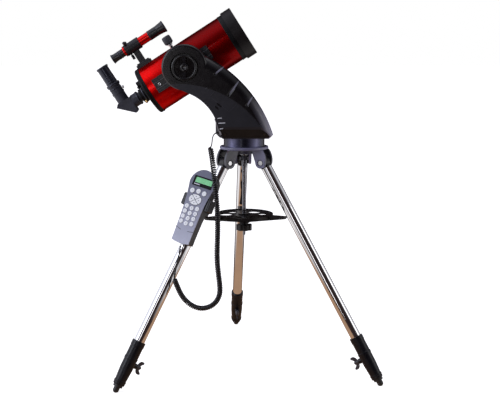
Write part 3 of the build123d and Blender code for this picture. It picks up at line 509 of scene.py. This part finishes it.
def screen_finish():
    """Green liquid-crystal glass with a faint grid of character cells."""
    s = Shader("screen_finish")
    cell_wide, cell_high = 3.4, 7.4
    across = s.math("SINE", s.math("MULTIPLY", s.along(HANDSET_CENTRE, HANDSET_X), 2 * pi / cell_wide))
    up = s.math("SINE", s.math("MULTIPLY", s.along(HANDSET_CENTRE, HANDSET_Y), 2 * pi / cell_high))
    grid = s.math("MAXIMUM", s.spread(across, 0, 1, 0.88, 1.0), s.spread(up, 0, 1, 0.94, 1.0))
    green = s.cloud((0.085, 0.42, 0.155), (0.11, 0.50, 0.19), 60)
    s.set(Base_Color=s.mix(s.math("MULTIPLY", grid, 0.35), green, (0.06, 0.33, 0.12)),
          Roughness=s.patchy(0.22, 0.3, 90, 2), Emission_Color=green, Emission_Strength=0.22)
    s.bump(s.noise(400, 2), 0.00001, 0.3)
    return s.material


def lens_glass():
    """Coated optical glass."""
    s = Shader("lens_glass")
    tint = (0.92, 0.97, 0.95)
    s.set(Base_Color=s.cloud(tint, scaled(tint, 0.97), 30, 2), Roughness=s.patchy(0.02, 0.06, 120),
          Transmission_Weight=0.9, IOR=1.5, Coat_Weight=1.0, Coat_Tint=(0.55, 0.85, 0.75))
    return s.material


def leg_direction(azimuth):
    a = radians(azimuth)
    return Vector((sin(SPLAY) * cos(a), sin(SPLAY) * sin(a), -cos(SPLAY)))


def leg_pivot(azimuth):
    a = radians(azimuth)
    return Vector((PIVOT_R * cos(a), PIVOT_R * sin(a), PIVOT_Z))


def chrome_leg(name, azimuth, start, end):
    """Polished chrome tube with faint draw lines; black plastic before start and after end, down the leg."""
    s = Shader(name)
    down = leg_direction(azimuth)
    turn = down.to_track_quat("Z", "Y").to_euler()
    lines = s.noise(420, 2, 0.5, ((1, 1, 0.02), (-turn.x, -turn.y, -turn.z)))
    cloud = s.noise(14, 5)
    chrome = s.band(s.along(leg_pivot(azimuth), down), start, end)
    plated = s.mix(s.spread(cloud, 0, 1), (0.80, 0.80, 0.82), (0.90, 0.90, 0.90))
    polish = s.math("ADD", s.spread(lines, 0.035, 0.075), s.spread(cloud, 0.0, 0.05, 0.5, 0.8))
    dull = s.math("MULTIPLY", s.math("SUBTRACT", 1.0, chrome), 0.4)
    s.set(Base_Color=s.mix(chrome, (0.010, 0.010, 0.012), plated), Metallic=chrome,
          Roughness=s.math("ADD", polish, dull))
    s.bump(lines, 0.000006, 0.3)
    return s.material


BLACK = moulded("black_plastic", (0.011, 0.011, 0.014), 0.36)
PRISM = moulded("prism_plastic", (0.035, 0.036, 0.052), 0.42)
GRIP = moulded("grip_plastic", (0.012, 0.011, 0.012), 0.45, 900, 0.00009)
SATIN = moulded("satin_plastic", (0.011, 0.009, 0.010), 0.36, 1800, 0.00003, specular=0.2)
WEDGE = moulded("wedge_plastic", (0.013, 0.009, 0.007), 0.5, 900, 0.00006, specular=0.2)
CASING = arm_finish()
GLOSS = moulded("gloss_plastic", (0.006, 0.006, 0.008), 0.13, 700, 0.00001, coat=0.6)
# Painted highlight: the port panel's pale grey stands in for key light falling on it.
PORT_PAINTED_HIGHLIGHT = moulded("port_painted_highlight", (0.30, 0.29, 0.31), 0.35, 900, 0.00003)
SLEEVE = moulded("sleeve_plastic", (0.006, 0.006, 0.009), 0.3, 1400, 0.00003, specular=0.25)
KNOB = moulded("knob_plastic", (0.045, 0.045, 0.058), 0.34, 1200, 0.00005)
HUB_PAINT = hub_finish()
RING_PAINT = ring_finish()
CELL_PAINT = moulded("cell_paint", (0.005, 0.005, 0.006), 0.4, specular=0.15)
FACE_GREY = handset_finish()
KEY_WHITE = moulded("key_white", (0.90, 0.93, 0.99), 0.4, 1200, 0.00002, vary=0.03, worn=(0.95, 0.95, 0.97))
LEGEND = moulded("legend_ink", (0.20, 0.21, 0.27), 0.5, 900, 0.00001, vary=0.1)
PALE_INK = moulded("pale_ink", (0.62, 0.64, 0.72), 0.5, 900, 0.00001, vary=0.06)
BLACK_METAL = anodised_finish()
BAR_METAL = bar_finish()
SCREEN_FRAME = moulded("screen_frame", (0.006, 0.006, 0.008), 0.5, 900, 0.00001, specular=0.08)
DARK_STEEL = metal("dark_steel", (0.06, 0.055, 0.05), 0.35)
ROD_METAL = metal("rod_metal", (0.26, 0.26, 0.29), 0.12, depth=0.000006)
STEEL = metal("steel", (0.62, 0.62, 0.64), 0.15)
FINDER = finder_finish()
SCREEN = screen_finish()
BRASS = metal("brass", (0.62, 0.42, 0.17), 0.22)
BOARD = moulded("board_green", (0.02, 0.13, 0.05), 0.4, 500)
RED = red_lacquer()
GLASS = lens_glass()
MIRROR = metal("mirror_coat", (0.9, 0.9, 0.92), 0.02, smudge=0.01)
CORD = moulded("cord_plastic", (0.008, 0.008, 0.011), 0.26, 1600, 0.00002, coat=0.3)

LOOKS = {
    "tripod_hub": HUB_PAINT, "leg_pivot_bolts": STEEL, "centre_rod": ROD_METAL, "hub_knob": KNOB,
    "azimuth_base": RING_PAINT, "accessory_tray": SATIN, "tray_knob": GRIP, "arm_casing": CASING,
    "arm_inner_cover": BLACK, "base_cover": WEDGE, "port_panel": PORT_PAINTED_HIGHLIGHT, "casing_screws": DARK_STEEL,
    "worm_wheels": BRASS, "drive_motors": STEEL, "control_board": BOARD, "power_switch": GLOSS,
    "clutch_knob": GLOSS, "saddle": BLACK_METAL, "clamp_knob": KNOB, "dovetail_bar": BAR_METAL,
    "main_tube": RED, "rear_cell": CELL_PAINT, "front_cell": CELL_PAINT, "corrector_lens": GLASS,
    "primary_mirror": MIRROR, "focus_knob": GRIP, "dust_cap": SATIN, "finder_shoe": BLACK,
    "finder_bracket": BLACK, "diagonal_housing": PRISM, "eyepiece": BLACK_METAL, "eyepiece_screw": STEEL,
    "handset_front": FACE_GREY, "handset_back": BLACK, "handset_holder": BLACK, "menu_keys": KEY_WHITE,
    "number_keys": KEY_WHITE, "key_up": KEY_WHITE, "key_down": KEY_WHITE, "key_left": KEY_WHITE,
    "key_right": KEY_WHITE, "cord_plug": BLACK, "finder_tube": FINDER, "handset_screen": SCREEN_FRAME,
}
PAST_THE_END = 2000               # farther down than any leg, so the upper tube is chrome to its end
for number, azimuth in enumerate(LEG_AZIMUTHS, start=1):
    LOOKS[f"leg_{number}_tube"] = chrome_leg(f"leg_chrome_{number}", azimuth, LEG_PLUG, PAST_THE_END)
    LOOKS[f"leg_{number}_lower"] = chrome_leg(f"lower_chrome_{number}", azimuth, 0, LEG_LENGTH - FOOT_LENGTH)
    LOOKS[f"leg_{number}_sleeve"] = SLEEVE
    LOOKS[f"leg_{number}_screw"] = KNOB
for node, material in LOOKS.items():
    NODES[node].data.materials.clear()
    NODES[node].data.materials.append(material)


# ---- Cord ---------------------------------------------------------------------------------
CORD_D = 3.2
WIRE_D = 5.0
COIL_OUTSIDE = 16.6
PITCH_TOP = 7.6                   # the coil is stretched by its own weight near its top
PITCH_LOW = 5.1
PITCH_SETTLES = 1 / 2.2           # share of the coil's length at which its pitch stops changing
TOP_LEAD = [
    (-79.7, -59.05, 730.1), (-88, -60.5, 726), (-92.5, -66, 716), (-93.5, -76, 704), (-94.5, -87, 693.5),
]
COIL = [
    (-98, -93, 689), (-93, -110, 668), (-88, -130, 633), (-83, -144, 594), (-79, -153, 552),
    (-76, -160, 506), (-75, -165, 459), (-77, -168, 412), (-77.5, -170, 366), (-73, -171, 322),
    (-69, -172, 290), (-70.5, -172.3, 265), (-82.5, -172.8, 243), (-103.5, -173.3, 229.5),
    (-128.5, -173.8, 226.5), (-151.5, -174.6, 235.5), (-170.5, -176, 252), (-186.5, -178.5, 276),
    (-201, -183, 318),
]
BOTTOM_LEAD = [
    (-201.1, -182.9, 319.2), (-198, -182, 341), (-193, -178, 363), (-187, -166, 388), (-183.8, -151, 407.5),
]


def smooth_line(points):
    """Points along the smooth curve whose control points are the cord's route, in metres."""
    curve = bpy.data.curves.new("route", "CURVE")
    curve.dimensions = "3D"
    curve.resolution_u = 24
    spline = curve.splines.new("NURBS")
    spline.points.add(len(points) - 1)
    for point, at in zip(spline.points, points):
        point.co = (*place(*at), 1)
    spline.order_u = 3
    spline.use_endpoint_u = True
    holder = bpy.data.objects.new("route", curve)
    mesh = bpy.data.meshes.new_from_object(holder)
    line = [vertex.co.copy() for vertex in mesh.vertices]
    bpy.data.meshes.remove(mesh)
    bpy.data.objects.remove(holder)
    bpy.data.curves.remove(curve)
    return line


def measured(line):
    """Running length at each point of a line."""
    lengths = [0.0]
    for a, b in zip(line, line[1:]):
        lengths.append(lengths[-1] + (b - a).length)
    return lengths


def at_length(line, lengths, distance):
    """The place and the direction at a distance along a line."""
    for a, b, start, end in zip(line, line[1:], lengths, lengths[1:]):
        if distance <= end or b is line[-1]:
            share = (distance - start) / max(end - start, 1e-9)
            return a.lerp(b, min(max(share, 0), 1)), (b - a).normalized()


def coil_pitch(share):
    """Millimetres from turn to turn, at a share of the coil's length from its top."""
    return PITCH_TOP - (PITCH_TOP - PITCH_LOW) * min(1, share / PITCH_SETTLES)


def wound(line, radius):
    """A helix round a line; its radius grows from the line at the start and goes back at the end."""
    steps_per_turn = 14
    taper = 4                     # millimetres over which the radius grows
    lengths = measured(line)
    total = lengths[-1] * 1000
    path = []
    side = Vector((1, 0, 0))
    distance = 0.0
    phase = 0.0
    while distance <= total:
        centre, direction = at_length(line, lengths, distance / 1000)
        side = (side - direction * side.dot(direction)).normalized()
        other = direction.cross(side)
        grown = min(1, distance / taper, (total - distance) / taper)
        reach = radius * max(0.0, grown)
        path.append(centre + (side * cos(phase) + other * sin(phase)) * reach / 1000)
        phase += 2 * pi / steps_per_turn
        distance += coil_pitch(distance / total) / steps_per_turn
    return path


def finish_mesh(name, mesh, smooth=True, material=None):
    data = bpy.data.meshes.new(name)
    mesh.to_mesh(data)
    mesh.free()
    data.polygons.foreach_set("use_smooth", [smooth] * len(data.polygons))
    piece = bpy.data.objects.new(name, data)
    bpy.context.scene.collection.objects.link(piece)
    if material:
        data.materials.append(material)
    return piece


def tube_mesh(name, path, diameter, sides=10):
    """A round tube along a path in metres, with closed ends."""
    mesh = bmesh.new()
    normal = (path[1] - path[0]).orthogonal().normalized()
    rings = []
    for i, centre in enumerate(path):
        before, after = path[max(i - 1, 0)], path[min(i + 1, len(path) - 1)]
        direction = (after - before).normalized()
        normal = (normal - direction * normal.dot(direction)).normalized()
        other = direction.cross(normal)
        ring = []
        for k in range(sides):
            angle = 2 * pi * k / sides
            outward = normal * cos(angle) + other * sin(angle)
            ring.append(mesh.verts.new(centre + outward * diameter / 2000))
        rings.append(ring)
    for low, high in zip(rings, rings[1:]):
        for k in range(sides):
            mesh.faces.new((low[k], low[(k + 1) % sides], high[(k + 1) % sides], high[k]))
    mesh.faces.new(list(reversed(rings[0])))
    mesh.faces.new(rings[-1])
    return finish_mesh(name, mesh, True, CORD)


def make_cords():
    lead_path = smooth_line(TOP_LEAD + [COIL[0]])
    lead = tube_mesh("handset_lead", lead_path, CORD_D)
    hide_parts("cord_top_lead")
    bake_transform(lead)

    path = wound(smooth_line(COIL), (COIL_OUTSIDE - WIRE_D) / 2)
    path += smooth_line([COIL[-1]] + BOTTOM_LEAD[1:])[1:]
    coil = tube_mesh("handset_coil", path, WIRE_D, 8)
    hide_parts("cord_coil", "cord_bottom_lead")
    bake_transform(coil)


make_cords()


# ---- Small parts --------------------------------------------------------------------------
def hold(piece, body):
    """Let a piece ride on a body."""
    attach(piece, body)
    return piece


def plate(name, matrix, outline, low, high, body, material, soften=0.12):
    """A thin solid over an outline in a local plane, its upper edges bevelled. Millimetres."""
    mesh = bmesh.new()
    base = [mesh.verts.new(matrix @ place(x, y, low)) for x, y in outline]
    face = mesh.faces.new(base)
    raised = bmesh.ops.extrude_face_region(mesh, geom=[face])["geom"]
    lift = matrix.to_3x3() @ place(0, 0, high - low)
    top = [v for v in raised if isinstance(v, bmesh.types.BMVert)]
    bmesh.ops.translate(mesh, verts=top, vec=lift)
    bmesh.ops.recalc_face_normals(mesh, faces=mesh.faces)
    edges = [e for e in mesh.edges if e.verts[0] in top and e.verts[1] in top]
    bmesh.ops.bevel(mesh, geom=edges, offset=soften / 1000, segments=2, affect="EDGES")
    return hold(finish_mesh(name, mesh, False, material), body)


def rounded(width, height, radius, centre=(0, 0), steps=5):
    """A rectangle with round corners."""
    points = []
    for quarter, (sx, sy) in enumerate(((1, 1), (-1, 1), (-1, -1), (1, -1))):
        for k in range(steps + 1):
            angle = (quarter + k / steps) * pi / 2
            points.append((centre[0] + sx * (width / 2 - radius) + radius * cos(angle),
                           centre[1] + sy * (height / 2 - radius) + radius * sin(angle)))
    return points


def strip(start, end, width, ends=4):
    """A narrow bar with round ends between two points."""
    a, b = Vector((*start, 0)), Vector((*end, 0))
    along = (b - a).normalized()
    heading = atan2(along.y, along.x)
    points = []
    for centre, turn in ((b, -pi / 2), (a, pi / 2)):
        for k in range(ends + 1):
            angle = heading + turn + pi * k / ends
            points.append((centre.x + width / 2 * cos(angle), centre.y + width / 2 * sin(angle)))
    return points


def strips(name, matrix, ends, width, low, high, body, material, soften, round_steps=4):
    """Numbered narrow bars, one for each pair of ends."""
    for number, (start, end) in enumerate(ends):
        outline = strip(start, end, width, round_steps)
        plate(f"{name}_{number}", matrix, outline, low, high, body, material, soften)


def lathe(name, matrix, profile, body, material, segments=48, flutes=0, depth=0.0):
    """A turned piece round a local Z axis from (radius, height) points, closed into a ring, with optional
    flutes round its rim. Millimetres."""
    mesh = bmesh.new()
    rings = []
    for k in range(segments):
        angle = 2 * pi * k / segments
        dip = depth * (0.5 - 0.5 * cos(flutes * angle))
        rings.append([mesh.verts.new(matrix @ place((r - dip) * cos(angle), (r - dip) * sin(angle), z))
                      for r, z in profile])
    count = len(profile)
    for ring, after in zip(rings, rings[1:] + rings[:1]):
        for k in range(count):
            mesh.faces.new((ring[k], after[k], after[(k + 1) % count], ring[(k + 1) % count]))
    bmesh.ops.recalc_face_normals(mesh, faces=mesh.faces)
    return hold(finish_mesh(name, mesh, True, material), body)


def bead(inner, outer, low, high):
    """Section of a ring with a rounded outside."""
    middle = (low + high) / 2
    half = (high - low) / 2
    curve = [(outer - half * 0.6 * (1 - cos(a)), middle + half * sin(a))
             for a in (radians(d) for d in (-90, -55, -25, 0, 25, 55, 90))]
    return [(inner, low)] + curve + [(inner, high)]


def beads(name, matrix, sections, body):
    """Numbered black rings, each from its inner and outer radius, low and high end."""
    for number, section in enumerate(sections):
        lathe(f"{name}_{number}", matrix, bead(*section), body, BLACK_METAL)


def legends(name, marks, body, size=6.0):
    """Printed marks on key tops: each is a text and its place on the handset."""
    mesh = bmesh.new()
    for text, (x, y) in marks:
        curve = bpy.data.curves.new("mark", "FONT")
        curve.body = text
        curve.size = size / 1000
        curve.align_x = "CENTER"
        curve.align_y = "CENTER"
        curve.extrude = 0.00002
        holder = bpy.data.objects.new("mark", curve)
        flat = bpy.data.meshes.new_from_object(holder)
        flat.transform(HANDSET @ Matrix.Translation(place(x, y, KEY_TOP + 0.02)))
        mesh.from_mesh(flat)
        bpy.data.meshes.remove(flat)
        bpy.data.objects.remove(holder)
        bpy.data.curves.remove(curve)
    hold(finish_mesh(name, mesh, False, LEGEND), body)


def make_bezel():
    """The thin raised frame round the display, from four loops of a rounded rectangle."""
    centre = (1.5, 76)
    lip, root = FACE + 0.3, FACE - 0.6
    inside = rounded(64.4, 27.9, 0.9, centre)
    outside = rounded(67.2, 30.7, 1.9, centre)
    shoulder = rounded(66.6, 30.1, 1.6, centre)
    mesh = bmesh.new()
    rings = []
    for outline, height in ((outside, root), (shoulder, lip), (inside, lip), (inside, root)):
        rings.append([mesh.verts.new(HANDSET @ place(x, y, height)) for x, y in outline])
    for low, high in zip(rings, rings[1:]):
        for k in range(len(low)):
            after = (k + 1) % len(low)
            mesh.faces.new((low[k], low[after], high[after], high[k]))
    bmesh.ops.recalc_face_normals(mesh, faces=mesh.faces)
    hold(finish_mesh("handset_bezel", mesh, False, SCREEN_FRAME), "leg_1")


def make_handset_details():
    cheek = [(-41.9, -2), (-45.5, -2), (-47.4, 1), (-47.4, 31), (-45.5, 34), (-41.9, 34)]
    for side, outline in (("left", cheek), ("right", [(-x, y) for x, y in reversed(cheek)])):
        plate(f"holder_cheek_{side}", HANDSET, outline, -19, 11, "leg_1", BLACK, 1.2)
    glass_low = FACE - 0.3
    display = rounded(56.5, 15.5, 0.8, (3.1, 79))
    blank_label = rounded(19, 3.0, 0.6, (-16.5, 66.5))
    plate("handset_display", HANDSET, display, glass_low, FACE + 0.15, "leg_1", SCREEN)
    plate("handset_strip", HANDSET, blank_label, glass_low, FACE + 0.05, "leg_1", PALE_INK)
    make_bezel()
    grooves = (((-31.0, -68.9), (-12.5, -74.2)), ((11.3, -74.3), (30.0, -71.5)))
    strips("handset_groove", HANDSET, grooves, 1.5, FACE - 0.4, FACE + 0.06, "leg_1", BLACK,
           0.03)

    column_step, row_step, side_drop = 18.2, 15.7, 2.7
    digits = [(-3 + column_step * column, -3.2 - row_step * row - (0 if column else side_drop))
              for row in range(4) for column in (-1, 0, 1)]
    legends("number_marks", zip("123456789-0+", digits), "number_keys")
    legends("menu_marks", zip("=o?", ((-22.5, 45), (-2, 47.3), (18.7, 45))), "menu_keys")

    pad = Vector((-2.5, 21))
    tip, tail, half = 2.2, 1.4, 2.2
    for key, direction in {"up": (0, 1), "down": (0, -1), "left": (-1, 0), "right": (1, 0)}.items():
        ahead = Vector(direction)
        aside = Vector((-ahead.y, ahead.x))
        middle = pad + Vector((ahead.x * 12.5, ahead.y * 9.5))
        foot = middle - ahead * tail
        arrow = [middle + ahead * tip, foot + aside * half, foot - aside * half]
        plate(f"key_{key}_arrow", HANDSET, arrow, KEY_TOP - 0.05, KEY_TOP + 0.08, f"key_{key}", LEGEND,
              0.03)


def make_arm_details():
    """Marks and trim on the arm's flat side, each from its ends on that face."""
    bars = (((-76.5, 772.6), (-65, 773.4)), ((-73.6, 758.3), (-55.8, 759.2)),
            ((-70.5, 741.8), (-61.9, 742.5)))
    vents = (((-77.0, 815.5), (-67.0, 807.2)), ((-82.6, 807.3), (-76.0, 800.3)))
    panel_lines = (((-94.7, 832.9), (-43.7, 791.6)), ((-43.7, 791.6), (-22.4, 812.7)))
    strips("port_mark", ARM_FACE, bars, 2.6, -0.1, 0.1, "arm", PALE_INK, 0.03)
    strips("arm_slot", ARM_FACE, vents, 5.0, -0.2, 0.25, "arm", GLOSS, 0.1, 2)
    rib = strip((-96.5, 838.8), (-85, 851.2), 1.8)
    dimple = strip((-112, 858.6), (-107.5, 861), 4.0, 8)
    plate("arm_rib", ARM_FACE, rib, -0.2, 0.9, "arm", KNOB, 0.5)
    plate("arm_dimple", ARM_FACE, dimple, -0.2, 1.2, "arm", KNOB, 0.9)
    strips("panel_line", ARM_FACE, panel_lines, 0.8, -0.1, 0.12, "arm", KNOB, 0.03)


def make_tube_details():
    """Screws, rims and rings on the telescope, each ring from inner and outer radius, low and high end."""
    screw_at = -94
    eyepiece_at = -224
    finder_at = 140
    brass_at = -163
    brass_turn = radians(235 - 90)
    screw = BAR_FACE @ Matrix.Translation(place(screw_at, 0, 0))
    screw_head = [(2.2, -0.2), (2.2, 0.9), (4.0, 1.1), (4.6, 0.7), (4.8, -0.2)]
    lathe("bar_screw", screw, screw_head, "tube", STEEL, 32)
    lathe("rear_rim", OTA, bead(74.2, 76.3, -135.5, -131.5), "tube", CELL_PAINT, 96)
    lathe("front_rim", OTA, bead(74.2, 75.6, 154.0, 157.0), "tube", CELL_PAINT, 96)
    lathe("visual_back_ring", OTA, bead(20.5, 25.2, -161, -155), "tube", BLACK_METAL)
    lathe("diagonal_ring", OTA, bead(19.5, 22.3, -183, -177), "diagonal", BLACK_METAL)

    eye = OTA @ Matrix.Translation(place(0, 0, eyepiece_at)) @ Matrix.Rotation(-pi / 2, 4, "X")
    eyepiece_rings = ((17.0, 18.9, 84, 87), (17.0, 18.4, 92, 94), (17.0, 18.4, 97, 99),
                      (17.0, 18.4, 102, 104), (17.4, 19.6, 133, 139))
    beads("eyepiece_ring", eye, eyepiece_rings, "eyepiece")
    beads("holder_ring", eye, ((18.0, 19.6, 60, 64), (20.2, 22.2, 72, 79)), "diagonal")
    finder = OTA @ Matrix.Translation(place(0, finder_at, 0))
    finder_rings = ((13.8, 14.9, -182.5, -179), (12.2, 13.3, -160, -157), (12.2, 13.3, -153, -150),
                    (14.5, 15.6, -50, -47), (17.5, 18.7, 2.5, 6))
    beads("finder_ring", finder, finder_rings, "finder_tube")

    brass = OTA @ Matrix.Translation(place(0, 0, brass_at)) @ Matrix.Rotation(brass_turn, 4, "Z")
    brass = brass @ Matrix.Rotation(-pi / 2, 4, "X")
    brass_head = [(1.0, 23.8), (4.5, 23.8), (4.7, 25), (4.7, 29.4), (4.3, 30.4), (1.0, 30.5)]
    lathe("brass_screw", brass, brass_head, "tube", BRASS, 24)


def make_clutch_knob():
    clutch = axes((AXIS.x, ARM_FRONT - 1, AXIS.z), (1, 0, 0), (0, 0, 1), (0, -1, 0))
    rim = [(30.2, -0.4), (30.4, 0.9), (31.4, 1.7), (33.7, 2.0), (35.8, 1.7), (36.9, 0.9), (37.2, -0.4)]
    boss = [(1.0, -0.4), (11.8, -0.4), (11.6, 1.0), (10.4, 1.9), (1.0, 2.2)]
    lathe("clutch_rim", clutch, rim, "clutch_knob", GLOSS, 72)
    lathe("clutch_hub", clutch, boss, "clutch_knob", GLOSS)
    grips = [((0, side * 14.5), (0, side * 27.5)) for side in (-1, 1)]
    strips("clutch_grip", clutch, grips, 9.5, -0.3, 1.5, "clutch_knob", GLOSS, 1.2)


def make_leg_knobs():
    """Each leg's collar, and a wing screw in place of the plain solid one."""
    half = [(0, 40), (6.5, 41), (10, 44), (13.2, 48.6), (16.6, 49.8), (19.6, 46.5), (19.4, 40),
            (15, 34.5), (9, 31.5), (4, 31)]
    wings = half + [(-x, y) for x, y in reversed(half[1:])]
    wing_half = 2.6
    collar = [(15.6, -38), (17.9, -38), (18.2, -37), (18.2, -33.5), (17.4, -32.4), (17.0, -31.6),
              (17.4, -30.8), (17.6, -30), (17.4, -26.4), (16.6, -25.4), (15.6, -25.3)]
    shank = [(0.6, 16.2), (3, 16.2), (3, 27.6), (6.6, 28), (7, 29), (6, 38), (5, 42.6), (3.4, 44),
             (0.6, 44.2)]
    for number, azimuth in enumerate(LEG_AZIMUTHS, start=1):
        down = leg_direction(azimuth)
        a = radians(azimuth)
        inward = Vector((-cos(SPLAY) * cos(a), -cos(SPLAY) * sin(a), -sin(SPLAY)))
        spot = leg_pivot(azimuth) + down * (LEG_LENGTH - SCREW_ABOVE_FOOT)
        foot = axes(leg_pivot(azimuth) + down * LEG_LENGTH, inward.cross(down), inward * -1, down)
        lathe(f"leg_{number}_collar", foot, collar, f"leg_{number}", SLEEVE, 40)
        screw = f"leg_{number}_screw"
        body = lathe(f"{screw}_hub", axes(spot, down, inward.cross(down), inward), shank, screw, KNOB,
                     32)
        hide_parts(screw)
        wing_plane = axes(spot, down, inward, down.cross(inward))
        plate(f"{screw}_wings", wing_plane, wings, -wing_half, wing_half, screw, KNOB, 1.1)


def make_clamp_knob():
    """The saddle's clamp: a fluted grip in place of the plain solid one, on a steel shaft."""
    knob = axes(AXIS - OTA_X * 81.5 - OTA_Z * 4, OTA_Z, OTA_X, OTA_Y)
    grip = [(3.0, 82.5), (9.5, 82.6), (12.6, 84.6), (13.6, 88), (13.7, 101), (13.2, 105),
            (11.4, 107.6), (8, 108.2), (3.0, 108.2)]
    shaft = [(1.0, 23.2), (4.5, 23.2), (4.5, 74), (5.4, 74.5), (5.4, 77), (4.5, 77.6), (4.5, 79),
             (8.0, 79.4), (8.0, 82.4), (3.0, 82.8)]
    piece = lathe("clamp_grip", knob, grip, "clamp_knob", KNOB, 120, flutes=20, depth=0.8)
    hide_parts("clamp_knob")
    lathe("clamp_shaft", knob, shaft, "clamp_knob", STEEL, 40)


def make_hub_washer():
    section = [(4.6, 657.1), (10.5, 657.1), (11, 657.6), (11, 659.3), (4.6, 659.6)]
    lathe("hub_washer", Matrix.Identity(4), section, "hub_knob", STEEL, 40)


make_clutch_knob()
make_hub_washer()
make_leg_knobs()
make_clamp_knob()
make_handset_details()
make_arm_details()
make_tube_details()
